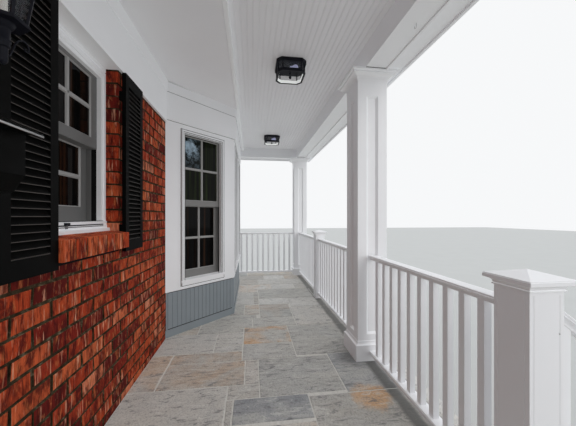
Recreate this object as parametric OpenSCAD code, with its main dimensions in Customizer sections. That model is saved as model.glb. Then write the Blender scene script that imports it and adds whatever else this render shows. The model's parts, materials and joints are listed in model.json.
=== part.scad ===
// Covered front porch along a brick house wall.
// +X runs along the porch, -Y faces the street, +Y goes into the house.
// The origin is on the ground, in the middle of the whole footprint.

/* [Porch] */
// Distance between column centres
column_spacing = 3513; // [3300:1:3700]
// Floor beyond the centres of the end columns and of the front row
floor_margin = 232; // [200:1:260]
// Brick face to the front edge of the floor
porch_depth = 2160; // [2060:10:2300]
// Thickness of the house wall
wall_t = 230; // [220:10:300]
// Height of one step
step_rise = 178; // [150:1:185]
// Depth of one step
step_run = 254; // [240:1:290]
// Overhang of a tread or of the floor's stone over what is under it
nosing = 25; // [15:1:35]
// Thickness of the floor's stone and of the treads
stone_t = 50; // [40:1:60]

/* [Columns and beams] */
// Width of a square column
column_w = 270; // [240:2:280]
// Floor to the underside of the beams
column_h = 2525; // [2450:5:2600]
// Height of a column's base block
base_h = 171; // [150:1:190]
// Width of a column's base block
base_w = 316; // [300:2:330]
// Height of the flared capital
capital_h = 106; // [100:1:140]
// Width across the top of the capital
capital_w = 411; // [380:1:430]
// Width of a recessed panel in a column
panel_w = 104; // [90:2:120]
// Depth of a recessed panel
panel_depth = 18; // [10:1:20]
// Width of the beams
beam_w = 180; // [160:5:220]
// Floor to the ceiling
ceiling_h = 2712; // [2700:2:2730]
// Floor to the lower ceiling beside the house
house_ceiling_h = 2645; // [2630:1:2660]

/* [Railings] */
// Width of a newel post
newel_w = 144; // [130:2:150]
// Floor to the tip of a newel's cap
newel_h = 1050; // [1020:2:1060]
// Width of a newel's cap
newel_cap_w = 200; // [190:2:210]
// Floor to the top of the handrail
rail_h = 914; // [860:2:930]
// Width of the handrail and of the low rail
rail_w = 74; // [66:2:90]
// Height of either rail
rail_t = 38; // [34:1:44]
// Side of a square baluster
baluster_w = 38; // [34:1:42]
// Distance between the centres of balusters
baluster_pitch = 115; // [105:1:125]
// Centre of the newel beside the stair, along the porch
stair_newel_x = -1485; // [-1560:1:-1440]

/* [Wall openings] */
// Centre of the front door along the porch
door_x = -2464; // [-2500:1:-2430]
// Width of the door leaf
door_w = 914; // [860:2:930]
// Height of the door leaf
door_h = 2032; // [1980:2:2060]
// Centre of the wall window along the porch
window_x = -779; // [-800:1:-760]
// Width of the wall window's opening
window_w = 640; // [600:2:660]
// Floor to the underside of the window's brick sill
window_low = 1050; // [1030:2:1090]
// Brick face to the window's casing
reveal = 77; // [60:1:80]
// Floor to the frieze board of the wall
frieze_low = 2225; // [2200:5:2250]
// Width of a shutter
shutter_w = 283; // [270:1:320]
// Floor to the underside of the shutters
shutter_low = 1020; // [1000:2:1040]
// Distance between shutter blades
blade_pitch = 30; // [26:1:34]

/* [Bay] */
// Near front corner of the bay along the porch
bay_x = 1189; // [1150:1:1220]
// Width of the bay's front face
bay_front = 1600; // [1560:5:1620]
// How far the bay stands out of the brick face
bay_out = 656; // [620:2:680]
// Thickness of the bay's walls
bay_t = 140; // [138:1:150]
// Height of the bay's skirt
skirt_h = 466; // [440:2:480]
// Floor to the bay's window sills
bay_sill = 562; // [550:1:580]
// Floor to the heads of the bay's sashes
bay_head = 2191; // [2160:1:2200]
// Floor to the frieze board of the bay
bay_frieze_low = 2256; // [2240:4:2280]
// Width of the sashes in the slanted faces
side_window_w = 554; // [520:2:580]
// Width of each of the two pairs of sashes in the front face
front_window_w = 670; // [600:5:680]
// Width of the post between those two pairs
mullion_w = 60; // [50:2:80]

/* [Roof] */
// Eave's overhang beyond the beams
eave_w = 168; // [150:2:200]
// Rise of the roof for each unit of run
roof_slope = 0.25; // [0.2:0.01:0.3]
// Thickness of the roof deck with its covering, measured upright
roof_t = 60; // [50:5:80]
// Floor to the top of the roof at its drip edge
drip_h = 2720; // [2715:1:2740]

/* [Hidden] */
$fn = 32;
floor_z = 3 * step_rise;
face_y = (porch_depth + 2 * step_run + nosing - wall_t) / 2;
back_y = face_y + wall_t;
edge_y = face_y - porch_depth;
column_y = edge_y + floor_margin;
floor_x = column_spacing + floor_margin;
beam_z = floor_z + column_h;
ceiling_z = floor_z + ceiling_h;
house_ceiling_z = floor_z + house_ceiling_h;
ceiling_t = 20;
board_t = 20;
crown_out = board_t + 10;
beam_out_x = column_spacing + beam_w / 2;
beam_in_x = column_spacing - beam_w / 2;
beam_out_y = column_y - beam_w / 2;
beam_in_y = column_y + beam_w / 2;
soffit_step = 20;
soffit_t = 15;
fascia_t = 25;
drip = 20;
eave_x = beam_out_x + eave_w;
eave_y = beam_out_y - eave_w;
drip_x = eave_x + fascia_t + drip;
drip_y = eave_y - fascia_t - drip;
drip_z = floor_z + drip_h;
roof_top_z = drip_z + roof_slope * (face_y - drip_y);
wall_top_z = roof_top_z + 80;
bay_y = face_y - bay_out;
bay_far_x = bay_x + bay_front;
bay_mid_x = bay_x + bay_front / 2;
stair_left_x = -column_spacing;
foot_newel_y = edge_y - 2 * step_run + 87;
mid_newel_x = column_spacing / 2;
half_column = column_w / 2;
half_base = base_w / 2;
half_newel = newel_w / 2;
soffit_board_t = 15;
window_high = floor_z + frieze_low + soffit_board_t;
brick_sill_h = 110;
wood_sill_h = 65;
shutter_high = frieze_low - 13;
light_x = [194, 2569];
light_y = -14;
mailbox_w = 400;
mailbox_gap = 14;
mailbox_x = window_x - window_w / 2 - shutter_w - mailbox_gap - mailbox_w / 2;
lantern_x = mailbox_x + 97;
lantern_y = 1079;

// Plain shapes

module block(x, y, z) {
    translate([x[0], y[0], z[0]]) cube([x[1] - x[0], y[1] - y[0], z[1] - z[0]]);
}

// A cross-section in Y and Z, run along +X
module run_x(length) {
    rotate([90, 0, 90]) linear_extrude(length) children();
}

// A cross-section in X and Z, run along +Y
module run_y(length) {
    translate([0, length, 0]) rotate([90, 0, 0]) linear_extrude(length) children();
}

function mirrored(outline) = concat(outline, [
    for (i = [len(outline) - 1 : -1 : 0]) [-outline[i][0], outline[i][1]]
]);

// A square solid whose half width follows the outline of [half width, height] points, with mitred corners
module square_turning(outline) {
    intersection() {
        translate([0, -capital_w, 0]) run_y(2 * capital_w) polygon(mirrored(outline));
        translate([-capital_w, 0, 0]) run_x(2 * capital_w) polygon(mirrored(outline));
    }
}

// Points of a quarter curve from a to b, hollow where bend is 1 and full where it is 0
function quarter(a, b, bend, steps) = [
    for (i = [0 : steps])
        let (t = 90 * i / steps)
        bend == 1
            ? [a[0] + (b[0] - a[0]) * (1 - cos(t)), a[1] + (b[1] - a[1]) * sin(t)]
            : [a[0] + (b[0] - a[0]) * sin(t), a[1] + (b[1] - a[1]) * (1 - cos(t))]
];

// Base and floor

module foundation() {
    color("silver")
        block([nosing - floor_x, floor_x - nosing], [edge_y + nosing, face_y], [0, floor_z - stone_t]);
}

module stone_floor() {
    color("slategray") block([-floor_x, floor_x], [edge_y, face_y], [floor_z - stone_t, floor_z]);
}

stair_x = [stair_left_x - 120, stair_newel_x + 120];

module step_base() {
    color("silver") for (i = [1 : 2])
        block([stair_x[0] + nosing, stair_x[1] - nosing],
              [edge_y + nosing - i * step_run, edge_y + nosing],
              [0, floor_z - i * step_rise - stone_t]);
}

module tread(i) {
    color("slategray")
        block(stair_x,
              [edge_y - i * step_run - (i == 2 ? nosing : 0), edge_y + nosing - (i - 1) * step_run],
              [floor_z - i * step_rise - stone_t, floor_z - i * step_rise]);
}

module lower_tread() {
    tread(2);
}

module upper_tread() {
    tread(1);
}

// Columns

base_outline = concat(
    [[half_base, 0], [half_base, base_h - 34]],
    quarter([half_base - 6, base_h - 30], [half_column + 4, base_h - 4], 0, 4),
    [[half_column, base_h]]
);

// A cove that carries two flat bands with a groove between them
half_capital = capital_w / 2;
band_h = 16;
groove_h = 3;
cove_high = column_h - 2 * band_h - groove_h;
capital_outline = concat(
    quarter([half_column, column_h - capital_h], [half_capital - 22, cove_high - 4], 1, 6),
    [[half_capital - 14, cove_high], [half_capital - 14, cove_high + band_h]],
    [[half_capital - 20, cove_high + band_h], [half_capital - 20, column_h - band_h]],
    [[half_capital, column_h - band_h], [half_capital, column_h]]
);

// A recessed panel with slanted sides, cut into the -Y face
module panel_recess(width, low, high, face) {
    half = width / 2;
    inner = panel_depth - face;
    intersection() {
        translate([0, 0, low]) linear_extrude(high - low) polygon([
            [-half, -face - 1], [half, -face - 1], [half, -face],
            [half - panel_depth, inner], [panel_depth - half, inner], [-half, -face]
        ]);
        translate([-half, 0, 0]) run_x(width) polygon([
            [-face - 1, low], [-face, low], [inner, low + panel_depth],
            [inner, high - panel_depth], [-face, high], [-face - 1, high]
        ]);
    }
}

module column(x) {
    panel_low = base_h + 52;
    panel_high = column_h - 214;
    color("white") translate([x, column_y, floor_z]) difference() {
        square_turning(concat(base_outline, capital_outline));
        for (turn = [0 : 90 : 270])
            rotate(turn) panel_recess(panel_w, panel_low, panel_high, half_column);
    }
}

module near_column() {
    column(-column_spacing);
}

module middle_column() {
    column(0);
}

module far_column() {
    column(column_spacing);
}

// Newel posts

// A post with a bead, a cove and a flat pyramid for its cap, and thin upright seams near its corners
module newel(x, y, foot_z, tip_z) {
    half_cap = newel_cap_w / 2;
    neck = tip_z - foot_z - 71;
    seam_inset = 18;
    seam_w = 2;
    seam_depth = 1.5;
    outline = concat(
        [[half_newel, 0], [half_newel, neck], [half_newel + 6, neck], [half_newel + 6, neck + 6]],
        [[half_newel + 2, neck + 7], [half_newel + 2, neck + 10]],
        quarter([half_newel + 4, neck + 10], [half_cap - 9, neck + 24], 1, 4),
        [[half_cap - 9, neck + 27], [half_cap, neck + 27], [half_cap, neck + 41]],
        [[half_cap - 3, neck + 41], [half_cap - 3, neck + 44]],
        [[half_cap - 1, neck + 45], [2, tip_z - foot_z]]
    );
    color("white") translate([x, y, foot_z]) difference() {
        square_turning(outline);
        for (turn = [0 : 90 : 270], side = [-1, 1])
            rotate(turn) translate([side * (half_newel - seam_inset), 0, 0])
                block([-seam_w / 2, seam_w / 2], [-half_newel - 1, seam_depth - half_newel],
                      [-1, neck - 12]);
    }
}

foot_z = floor_z - 2 * step_rise;
foot_tip_z = floor_z + 680;

module stair_newel() {
    newel(stair_newel_x, column_y, floor_z, floor_z + newel_h);
}

module middle_newel() {
    newel(mid_newel_x, column_y, floor_z, floor_z + newel_h);
}

module left_foot_newel() {
    newel(stair_left_x, foot_newel_y, foot_z, foot_tip_z);
}

module right_foot_newel() {
    newel(stair_newel_x, foot_newel_y, foot_z, foot_tip_z);
}

// Railings

half_rail = rail_w / 2;
half_baluster = baluster_w / 2;
low_rail_z = 51;

// Flat top, groove and bead that both rails have, with the top at height 0
rail_edge = [
    [half_rail - 1, -15], [half_rail - 1, -11], [half_rail - 5, -10], [half_rail - 5, -8],
    [half_rail, -7], [half_rail, -2], [half_rail - 3, 0]
];

// Either rail seen from its end
handrail_outline = concat(
    [[half_baluster + 2, -rail_t]],
    quarter([half_baluster + 3, -rail_t + 2], [half_rail - 5, -17], 1, 4),
    rail_edge
);
low_rail_outline = concat([[half_rail - 6, -rail_t], [half_rail - 6, -17]], rail_edge);

// As many balusters as leave this much or more beside the first and the last one
least_end_gap = 52;
function baluster_count(length) =
    floor((length - baluster_w - 2 * least_end_gap) / baluster_pitch) + 1;
function baluster_place(length, i) =
    length / 2 + (i - (baluster_count(length) + 1) / 2) * baluster_pitch;

// A level railing along +X that starts at x = 0, with its lower rail kept clear of column bases
module railing(length, start_inset, end_inset) {
    color("white") {
        translate([0, 0, rail_h]) run_x(length) polygon(mirrored(handrail_outline));
        translate([start_inset, 0, low_rail_z + rail_t])
            run_x(length - start_inset - end_inset) polygon(mirrored(low_rail_outline));
        for (i = [1 : baluster_count(length)])
            translate([baluster_place(length, i), 0, 0])
                block([-half_baluster, half_baluster], [-half_baluster, half_baluster],
                      [low_rail_z + rail_t - 1, rail_h - rail_t + 1]);
    }
}

base_step = half_base - half_column;

module front_railing(x0, x1, start_inset, end_inset) {
    translate([x0, column_y, floor_z]) railing(x1 - x0, start_inset, end_inset);
}

module end_railing(x) {
    start_y = column_y + half_column;
    translate([x, start_y, floor_z]) rotate(90) railing(face_y - start_y, base_step, 0);
}

module entry_railing() {
    front_railing(stair_newel_x + half_newel, -half_column, 0, base_step);
}

module middle_railing() {
    front_railing(half_column, mid_newel_x - half_newel, base_step, 0);
}

module far_railing() {
    front_railing(mid_newel_x + half_newel, column_spacing - half_column, 0, base_step);
}

module near_end_railing() {
    end_railing(-column_spacing);
}

module far_end_railing() {
    end_railing(column_spacing);
}

// Stair railings, which follow the slope of the steps
stair_slope = step_rise / step_run;
stair_rail_h = 868;
stair_rail_y = column_y - 157;
low_stair_drop = 690;

module stair_railing(x, start_y, low_start_y) {
    end_y = foot_newel_y + half_newel;
    top_z = floor_z + stair_rail_h + stair_slope * (start_y - stair_rail_y);
    length = start_y - end_y;
    color("white") translate([x, start_y, top_z]) {
        sloped_bar(0, -length, 0) polygon(mirrored(handrail_outline));
        sloped_bar(low_start_y - start_y, -length, -low_stair_drop) polygon(mirrored(low_rail_outline));
        for (i = [1 : baluster_count(length)]) sloped_baluster(-baluster_place(length, i));
    }
}

// A bar along the stair's slope between two upright cuts
module sloped_bar(from_y, to_y, z) {
    angle = atan(stair_slope);
    long = (from_y - to_y) / cos(angle) + 200;
    intersection() {
        translate([0, from_y, z + stair_slope * from_y]) rotate([angle, 0, 0])
            translate([0, 100 - long, 0]) run_y(long) children();
        block([-rail_w, rail_w], [to_y, from_y], [-2 * rail_h, rail_h]);
    }
}

// An upright baluster, cut to the slopes of the two rails
module sloped_baluster(y) {
    low = -low_stair_drop - 2;
    high = -rail_t / cos(atan(stair_slope)) + 2;
    rise = stair_slope * half_baluster;
    centre = stair_slope * y;
    translate([-half_baluster, 0, 0]) run_x(baluster_w) polygon([
        [y - half_baluster, centre - rise + low], [y + half_baluster, centre + rise + low],
        [y + half_baluster, centre + rise + high], [y - half_baluster, centre - rise + high]
    ]);
}

module left_stair_railing() {
    stair_railing(stair_left_x, column_y - half_column, column_y - half_base);
}

module right_stair_railing() {
    stair_railing(stair_newel_x, column_y - half_newel, column_y - half_newel);
}

// Roof: a lean-to with hipped ends, as the room below two crossing slopes

module roof_form(drop) {
    rise = roof_slope * (face_y - drip_y);
    half_top = drip_x - (face_y - drip_y);
    z = drip_z - drop;
    intersection() {
        translate([-drip_x, 0, 0]) run_x(2 * drip_x)
            polygon([[drip_y, 0], [face_y, 0], [face_y, z + rise], [drip_y, z]]);
        translate([0, drip_y, 0]) run_y(face_y - drip_y) polygon([
            [-drip_x, 0], [drip_x, 0], [drip_x, z],
            [half_top, z + rise], [-half_top, z + rise], [-drip_x, z]
        ]);
    }
}

module roof() {
    color("dimgray") difference() {
        roof_form(0);
        roof_form(roof_t);
    }
}

module under_roof() {
    intersection() {
        roof_form(roof_t);
        children();
    }
}

module front_beam() {
    color("white") under_roof()
        block([-beam_out_x, beam_out_x], [beam_out_y, beam_in_y], [beam_z, roof_top_z]);
}

module end_beam(x) {
    color("white") under_roof()
        block([x - beam_w / 2, x + beam_w / 2], [beam_in_y, face_y], [beam_z, roof_top_z]);
}

module near_end_beam() {
    end_beam(-column_spacing);
}

module far_end_beam() {
    end_beam(column_spacing);
}

// A band round the front and both ends, between two outlines
module eave_band(outer_x, outer_y, inner_x, inner_y, z) {
    difference() {
        block([-outer_x, outer_x], [outer_y, face_y], z);
        block([-inner_x, inner_x], [inner_y, face_y + 1], [z[0] - 1, z[1] + 1]);
    }
}

module eave_soffit() {
    soffit_z = beam_z + soffit_step;
    color("white") eave_band(eave_x, eave_y, beam_out_x, beam_out_y, [soffit_z, soffit_z + soffit_t]);
}

module fascia() {
    color("white") under_roof()
        eave_band(eave_x + fascia_t, eave_y - fascia_t, eave_x, eave_y, [beam_z + 5, roof_top_z]);
}

// Ceiling

trim_w = 34;
trim_y = bay_y - crown_out - trim_w;
riser_y = trim_y + 18;

module bead_board_ceiling() {
    color("lavender")
        block([-beam_in_x, beam_in_x], [beam_in_y, riser_y], [ceiling_z, ceiling_z + ceiling_t]);
}

// The ceiling is lower beside the house
module house_side_ceiling() {
    color("white")
        block([-beam_in_x, beam_in_x], [riser_y, face_y], [house_ceiling_z, house_ceiling_z + ceiling_t]);
}

// Riser between the two ceilings, with a flange under the edge of the lower one
module ceiling_trim() {
    flange = 6;
    color("white") translate([-beam_in_x, 0, 0]) run_x(2 * beam_in_x) polygon([
        [trim_y, house_ceiling_z - flange], [trim_y + trim_w - 3, house_ceiling_z - flange],
        [trim_y + trim_w, house_ceiling_z - 3], [trim_y + trim_w, house_ceiling_z],
        [riser_y, house_ceiling_z], [riser_y, ceiling_z], [trim_y, ceiling_z]
    ]);
}

// House wall

module brick_wall() {
    door_half = door_w / 2 + jamb_t + casing_w;
    bay_opening = [bay_x - bay_out + 130, bay_far_x + bay_out - 130];
    color("chocolate") difference() {
        block([-floor_x, floor_x], [face_y, back_y], [0, wall_top_z]);
        block([door_x - door_half, door_x + door_half], [face_y - 1, back_y + 1],
              [floor_z, floor_z + door_h + jamb_t + casing_w]);
        block([window_x - window_w / 2, window_x + window_w / 2], [face_y - 1, back_y + 1],
              [floor_z + window_low, window_high]);
        block(bay_opening, [face_y - 1, back_y + 1], [floor_z, floor_z + frieze_low]);
    }
}

// Frieze board with a flat crown, seen from its end: distance out of the wall, height above the floor
function frieze_outline(low, back) =
    let (crown_low = house_ceiling_h - 105)
    [
        [back, low], [board_t, low], [board_t, crown_low], [board_t + 5, crown_low],
        [board_t + 5, crown_low + 7], [board_t + 2, crown_low + 9], [crown_out - 1, house_ceiling_h - 12],
        [crown_out, house_ceiling_h - 10], [crown_out, house_ceiling_h], [back, house_ceiling_h]
    ];

// The friezes of wall and bay meet in mitres that run out from the two corners of the bay at the wall
bay_corner_x = [bay_x - bay_out, bay_far_x + bay_out];
mitre_out = 200;
mitre_shift = mitre_out * tan(22.5);

module wall_frieze() {
    near_x = -beam_in_x;
    color("white") intersection() {
        translate([near_x, face_y, floor_z]) run_x(bay_corner_x[0] - near_x)
            polygon([for (p = frieze_outline(frieze_low, 0)) [-p[0], p[1]]]);
        linear_extrude(ceiling_z) polygon([
            [near_x, face_y], [bay_corner_x[0], face_y],
            [bay_corner_x[0] - mitre_shift, face_y - mitre_out], [near_x, face_y - mitre_out]
        ]);
    }
}

// Bricks on edge that stand out of the wall and slope down to their front
module window_brick_sill() {
    out = 66;
    slope_in = 55;
    front_h = 98;
    low = floor_z + window_low;
    color("chocolate") translate([window_x - window_w / 2, face_y, low]) run_x(window_w) polygon([
        [-out, 0], [-out, front_h], [slope_in, brick_sill_h], [wall_t - 60, brick_sill_h], [wall_t - 60, 0]
    ]);
}

// Door

jamb_t = 30;
casing_w = 100;

module door_frame() {
    half = door_w / 2;
    outer = half + jamb_t + casing_w;
    top = floor_z + door_h;
    color("white") difference() {
        union() {
            block([door_x - half - jamb_t, door_x + half + jamb_t], [face_y + 20, back_y],
                  [floor_z, top + jamb_t]);
            block([door_x - outer, door_x + outer], [face_y, face_y + 60],
                  [floor_z, top + jamb_t + casing_w]);
            block([door_x - outer, door_x + outer], [face_y + 60, back_y],
                  [top + jamb_t, top + jamb_t + casing_w]);
            for (side = [-1, 1])
                translate([door_x + side * (half + jamb_t + casing_w / 2), 0, 0])
                    block([-casing_w / 2, casing_w / 2], [face_y + 60, back_y], [floor_z, top + jamb_t]);
        }
        block([door_x - half, door_x + half], [face_y - 1, back_y + 1], [floor_z + 25, top]);
    }
}

module front_door() {
    leaf_y = face_y + 90;
    half = door_w / 2;
    low = floor_z + 25;
    knob_z = floor_z + 960;
    panel_half = (door_w - 3 * 115) / 4;
    color("black") {
        translate([door_x, leaf_y, 0]) difference() {
            block([-half, half], [0, 45], [low, floor_z + door_h]);
            for (side = [-1, 1], z = [[220, 800], [1010, 1560], [1680, 1900]])
                translate([side * (panel_half + 57.5), 0, 0])
                    panel_recess(2 * panel_half, floor_z + z[0], floor_z + z[1], 0);
        }
        translate([door_x + half - 62, leaf_y + 1, knob_z]) rotate([90, 0, 0]) rotate_extrude()
            polygon([[0, 0], [30, 0], [30, 6], [12, 9], [11, 30], [26, 42], [29, 52], [24, 62], [0, 66]]);
    }
}

// Windows: each is drawn on the middle of its opening, with +Y going in and z = 0 on its sill

stile_w = 58;
bottom_rail_h = 86;
top_rail_h = 46;
meeting_h = 62;
meeting_rise = 28;
sash_t = 44;
upper_sash_y = 30;
lower_sash_y = 90;

// A frame of two stiles and two rails
module sash(width, z, low_rail_h, high_rail_h, y) {
    difference() {
        block([-width / 2, width / 2], [y, y + sash_t], z);
        block([stile_w - width / 2, width / 2 - stile_w], [y - 1, y + sash_t + 1],
              [z[0] + low_rail_h, z[1] - high_rail_h]);
    }
}

// The upper sash stands outside the lower one, and a strip closes the gap between their meeting rails
module sashes(width, height) {
    low = height / 2 + meeting_rise - meeting_h / 2;
    high = low + meeting_h;
    sash(width, [low, height], meeting_h, top_rail_h, upper_sash_y);
    sash(width, [0, high], bottom_rail_h, meeting_h, lower_sash_y);
    block([-width / 2, width / 2], [upper_sash_y + sash_t - 1, lower_sash_y + 1], [low, high]);
}

module glass(width, height) {
    y = lower_sash_y + sash_t;
    color([0.6, 0.68, 0.72, 0.5]) block([-width / 2, width / 2], [y, y + 4], [0, height]);
}

wall_sill_z = floor_z + window_low + brick_sill_h;
casing_t = 50;
casing_h = 53;
head_h = 83;
sash_w = window_w - 2 * casing_t;
sash_h = floor_z + frieze_low - head_h - wall_sill_z - wood_sill_h;

module place_in_wall() {
    translate([window_x, face_y + reveal, wall_sill_z + wood_sill_h]) children();
}

// Stepped casing, a board over it, a board under the opening's head and a moulded sill
module wall_window_frame() {
    half = window_w / 2;
    depth = wall_t - reveal;
    step = 24;
    groove = 5;
    sill_outline = [
        [-25, -wood_sill_h], [-25, -46], [-8, -44], [-8, -24], [-2, -24], [-2, -19], [-6, -19], [-6, -2],
        [0, 0], [depth, 0], [depth, -wood_sill_h]
    ];
    color("white") place_in_wall() {
        difference() {
            block([-half, half], [0, depth], [-1, sash_h + head_h + 1]);
            block([-sash_w / 2, sash_w / 2], [-1, depth + 1], [-2, sash_h]);
            block([-sash_w / 2 - step, sash_w / 2 + step], [-1, groove], [-2, sash_h + step]);
            block([-half - 1, half + 1], [-1, groove], [sash_h + casing_h, sash_h + casing_h + groove]);
        }
        block([-half, half], [-reveal, depth], [sash_h + head_h, sash_h + head_h + soffit_board_t]);
        translate([-half, 0, 0]) run_x(2 * half) polygon(sill_outline);
    }
}

module wall_window_sashes() {
    color("darkgray") place_in_wall() sashes(sash_w, sash_h);
}

module wall_window_glass() {
    place_in_wall() glass(sash_w, sash_h);
}

// Louvred shutters

// A frame of stiles and rails with slanted blades between them, held off the wall by four blocks
module shutter(x) {
    stile = 47;
    rail = 75;
    stand = 22;
    front = stand + 25;
    height = shutter_high - shutter_low;
    blades_h = height - 2 * rail;
    inner_w = shutter_w - 2 * stile;
    blades = floor(blades_h / blade_pitch);
    pitch = blades_h / blades;
    block_w = 30;
    block_h = 60;
    color("black") translate([x, face_y, floor_z + shutter_low]) {
        difference() {
            block([0, shutter_w], [-front, -stand], [0, height]);
            block([stile, shutter_w - stile], [-front - 1, 1 - stand], [rail, height - rail]);
        }
        for (i = [0 : blades - 1])
            translate([stile - 3, -stand, rail + (i + 0.5) * pitch])
                run_x(inner_w + 6) polygon([[-1, 13], [-24, -14], [-24, -7], [-1, 20]]);
        for (side = [8, shutter_w - 8 - block_w], z = [120, height - 120 - block_h])
            block([side, side + block_w], [-stand - 1, 0], [z, z + block_h]);
    }
}

module near_shutter() {
    shutter(window_x - window_w / 2 - shutter_w);
}

module far_shutter() {
    shutter(window_x + window_w / 2);
}

// Bay

// Corners of the bay's outline, moved out from its faces by d
function bay_outline(d) = [
    [bay_x - bay_out - d * sqrt(2), face_y],
    [bay_x - d * tan(22.5), bay_y - d],
    [bay_far_x + d * tan(22.5), bay_y - d],
    [bay_far_x + bay_out + d * sqrt(2), face_y]
];

module bay_shell(out, into, z) {
    inner = bay_outline(-into);
    difference() {
        translate([0, 0, z[0]]) linear_extrude(z[1] - z[0]) polygon(bay_outline(out));
        translate([0, 0, z[0] - 1]) linear_extrude(z[1] - z[0] + 2)
            polygon(concat(inner, [[inner[3][0], face_y + 1], [inner[0][0], face_y + 1]]));
    }
}

// Boarded skirt with a base board and corner boards
module bay_skirt() {
    set_back = 12;
    corner_w = 24;
    base_board_h = 78;
    color("lightslategray") {
        bay_shell(-set_back, bay_t, [floor_z, floor_z + skirt_h]);
        bay_shell(0, bay_t, [floor_z, floor_z + base_board_h]);
        for (x = [bay_x, bay_far_x]) intersection() {
            bay_shell(-set_back / 2, bay_t, [floor_z, floor_z + skirt_h]);
            block([x - corner_w, x + corner_w], [bay_y, bay_y + 60], [0, ceiling_z]);
        }
    }
}

// Middle of a face of the bay at its window sill: the near face is -1, the front 0 and the far face 1
module place_in_bay(side) {
    translate([
        bay_mid_x + side * (bay_front + bay_out) / 2,
        side == 0 ? bay_y : (bay_y + face_y) / 2,
        floor_z + bay_sill
    ]) rotate(45 * side) children();
}

bay_window_h = bay_head - bay_sill;
bay_glass_w = 2 * front_window_w + mullion_w;
casing_lap = 33;
casing_border = 43;
casing_step = 20;

// The front face has two pairs of sashes beside each other
module each_window(side) {
    step = (front_window_w + mullion_w) / 2;
    place_in_bay(side) for (x = side == 0 ? [-step, step] : [0]) translate([x, 0, 0]) children();
}

function glass_w(side) = side == 0 ? bay_glass_w : side_window_w;

// The openings in front of the sashes, narrowed by the given amount at both sides and the top
module window_cuts(side, less, y) {
    half = (side == 0 ? front_window_w : side_window_w) / 2 - less;
    each_window(side) block([-half, half], y, [0, bay_window_h - less]);
}

// Keeps clear of the beam at the far end of the porch
module beside_far_beam() {
    difference() {
        children();
        block([beam_in_x, beam_out_x], [bay_y, face_y + 1], [beam_z, roof_top_z]);
    }
}

// Walls with stepped casings, which lap the edges of the sashes, and sills
module bay_walls() {
    sides = [-1 : 1];
    color("white") beside_far_beam() difference() {
        union() {
            bay_shell(0, bay_t, [floor_z + skirt_h, house_ceiling_z]);
            for (side = sides) place_in_bay(side) bay_casing(glass_w(side) / 2);
        }
        for (side = sides) {
            window_cuts(side, casing_lap, [-100, upper_sash_y + 1]);
            window_cuts(side, casing_lap - casing_step, [-100, -8]);
            place_in_bay(side) block(
                [-glass_w(side) / 2, glass_w(side) / 2], [upper_sash_y, bay_t + 50], [0, bay_window_h]);
        }
    }
}

module bay_casing(half_width) {
    casing_out = 14;
    apron_low = -62;
    sill_out = 22;
    sill_low = -25;
    half = half_width - casing_lap + casing_border;
    high = bay_window_h - casing_lap + casing_border;
    block([-half, half], [-casing_out, 1], [apron_low, high]);
    block([-half - 2, half + 2], [-sill_out, 1], [sill_low, 0]);
}

// The cornice's outline run along one face of the bay, and solid behind it
module cornice_run(side, long) {
    outline = frieze_outline(bay_frieze_low, -long / 2);
    place_in_bay(side) translate([-long / 2, 0, 0])
        run_x(long) polygon([for (p = outline) [-p[0], p[1] - bay_sill]]);
}

// Frieze board and crown round the top of the bay, with mitred corners
module bay_cornice() {
    long = 4 * bay_front;
    color("white") beside_far_beam() difference() {
        intersection() {
            cornice_run(-1, long);
            cornice_run(0, long);
            cornice_run(1, long);
            linear_extrude(ceiling_z) polygon([
                [bay_corner_x[0], face_y], [bay_corner_x[0] - mitre_shift, face_y - mitre_out],
                [bay_x - 2 * mitre_out, bay_y - mitre_out],
                [bay_far_x + 2 * mitre_out, bay_y - mitre_out],
                [bay_corner_x[1] + mitre_shift, face_y - mitre_out], [bay_corner_x[1], face_y]
            ]);
        }
        linear_extrude(ceiling_z + 1) polygon(bay_outline(0));
    }
}

module bay_near_sashes() {
    color("darkgray") each_window(-1) sashes(side_window_w, bay_window_h);
}

// Two pairs of sashes with a post between them
module bay_front_sashes() {
    half_post = mullion_w / 2 + 1;
    color("darkgray") {
        each_window(0) sashes(front_window_w, bay_window_h);
        place_in_bay(0)
            block([-half_post, half_post], [upper_sash_y, lower_sash_y + sash_t], [0, bay_window_h]);
    }
}

module bay_far_sashes() {
    color("darkgray") each_window(1) sashes(side_window_w, bay_window_h);
}

module bay_near_glass() {
    place_in_bay(-1) glass(side_window_w, bay_window_h);
}

module bay_front_glass() {
    place_in_bay(0) glass(bay_glass_w, bay_window_h);
}

module bay_far_glass() {
    place_in_bay(1) glass(side_window_w, bay_window_h);
}

// Ceiling lights: a chamfered pan, eight bars, a lower ring and a drop finial

function chamfered(half, cut) = [
    [half, -half + cut], [half, half - cut], [half - cut, half], [cut - half, half],
    [-half, half - cut], [-half, cut - half], [cut - half, -half], [half - cut, -half]
];

module ceiling_light(x) {
    color("black") translate([x, light_y, ceiling_z]) {
        translate([0, 0, -34]) linear_extrude(34) polygon(chamfered(140, 44));
        for (p = chamfered(128, 40))
            translate([p[0] * 0.97 - 5, p[1] * 0.97 - 5, -112]) cube([10, 10, 80]);
        translate([0, 0, -120]) linear_extrude(12) difference() {
            polygon(chamfered(132, 42));
            polygon(chamfered(114, 36));
        }
        translate([0, 0, -96]) rotate_extrude()
            polygon([[0, 0], [7, 8], [13, 20], [6, 30], [5, 63], [0, 63]]);
    }
}

module near_ceiling_light() {
    ceiling_light(light_x[0]);
}

module far_ceiling_light() {
    ceiling_light(light_x[1]);
}

// Wall lantern: a six-sided body carried on a stem and an arm from the wall

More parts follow.
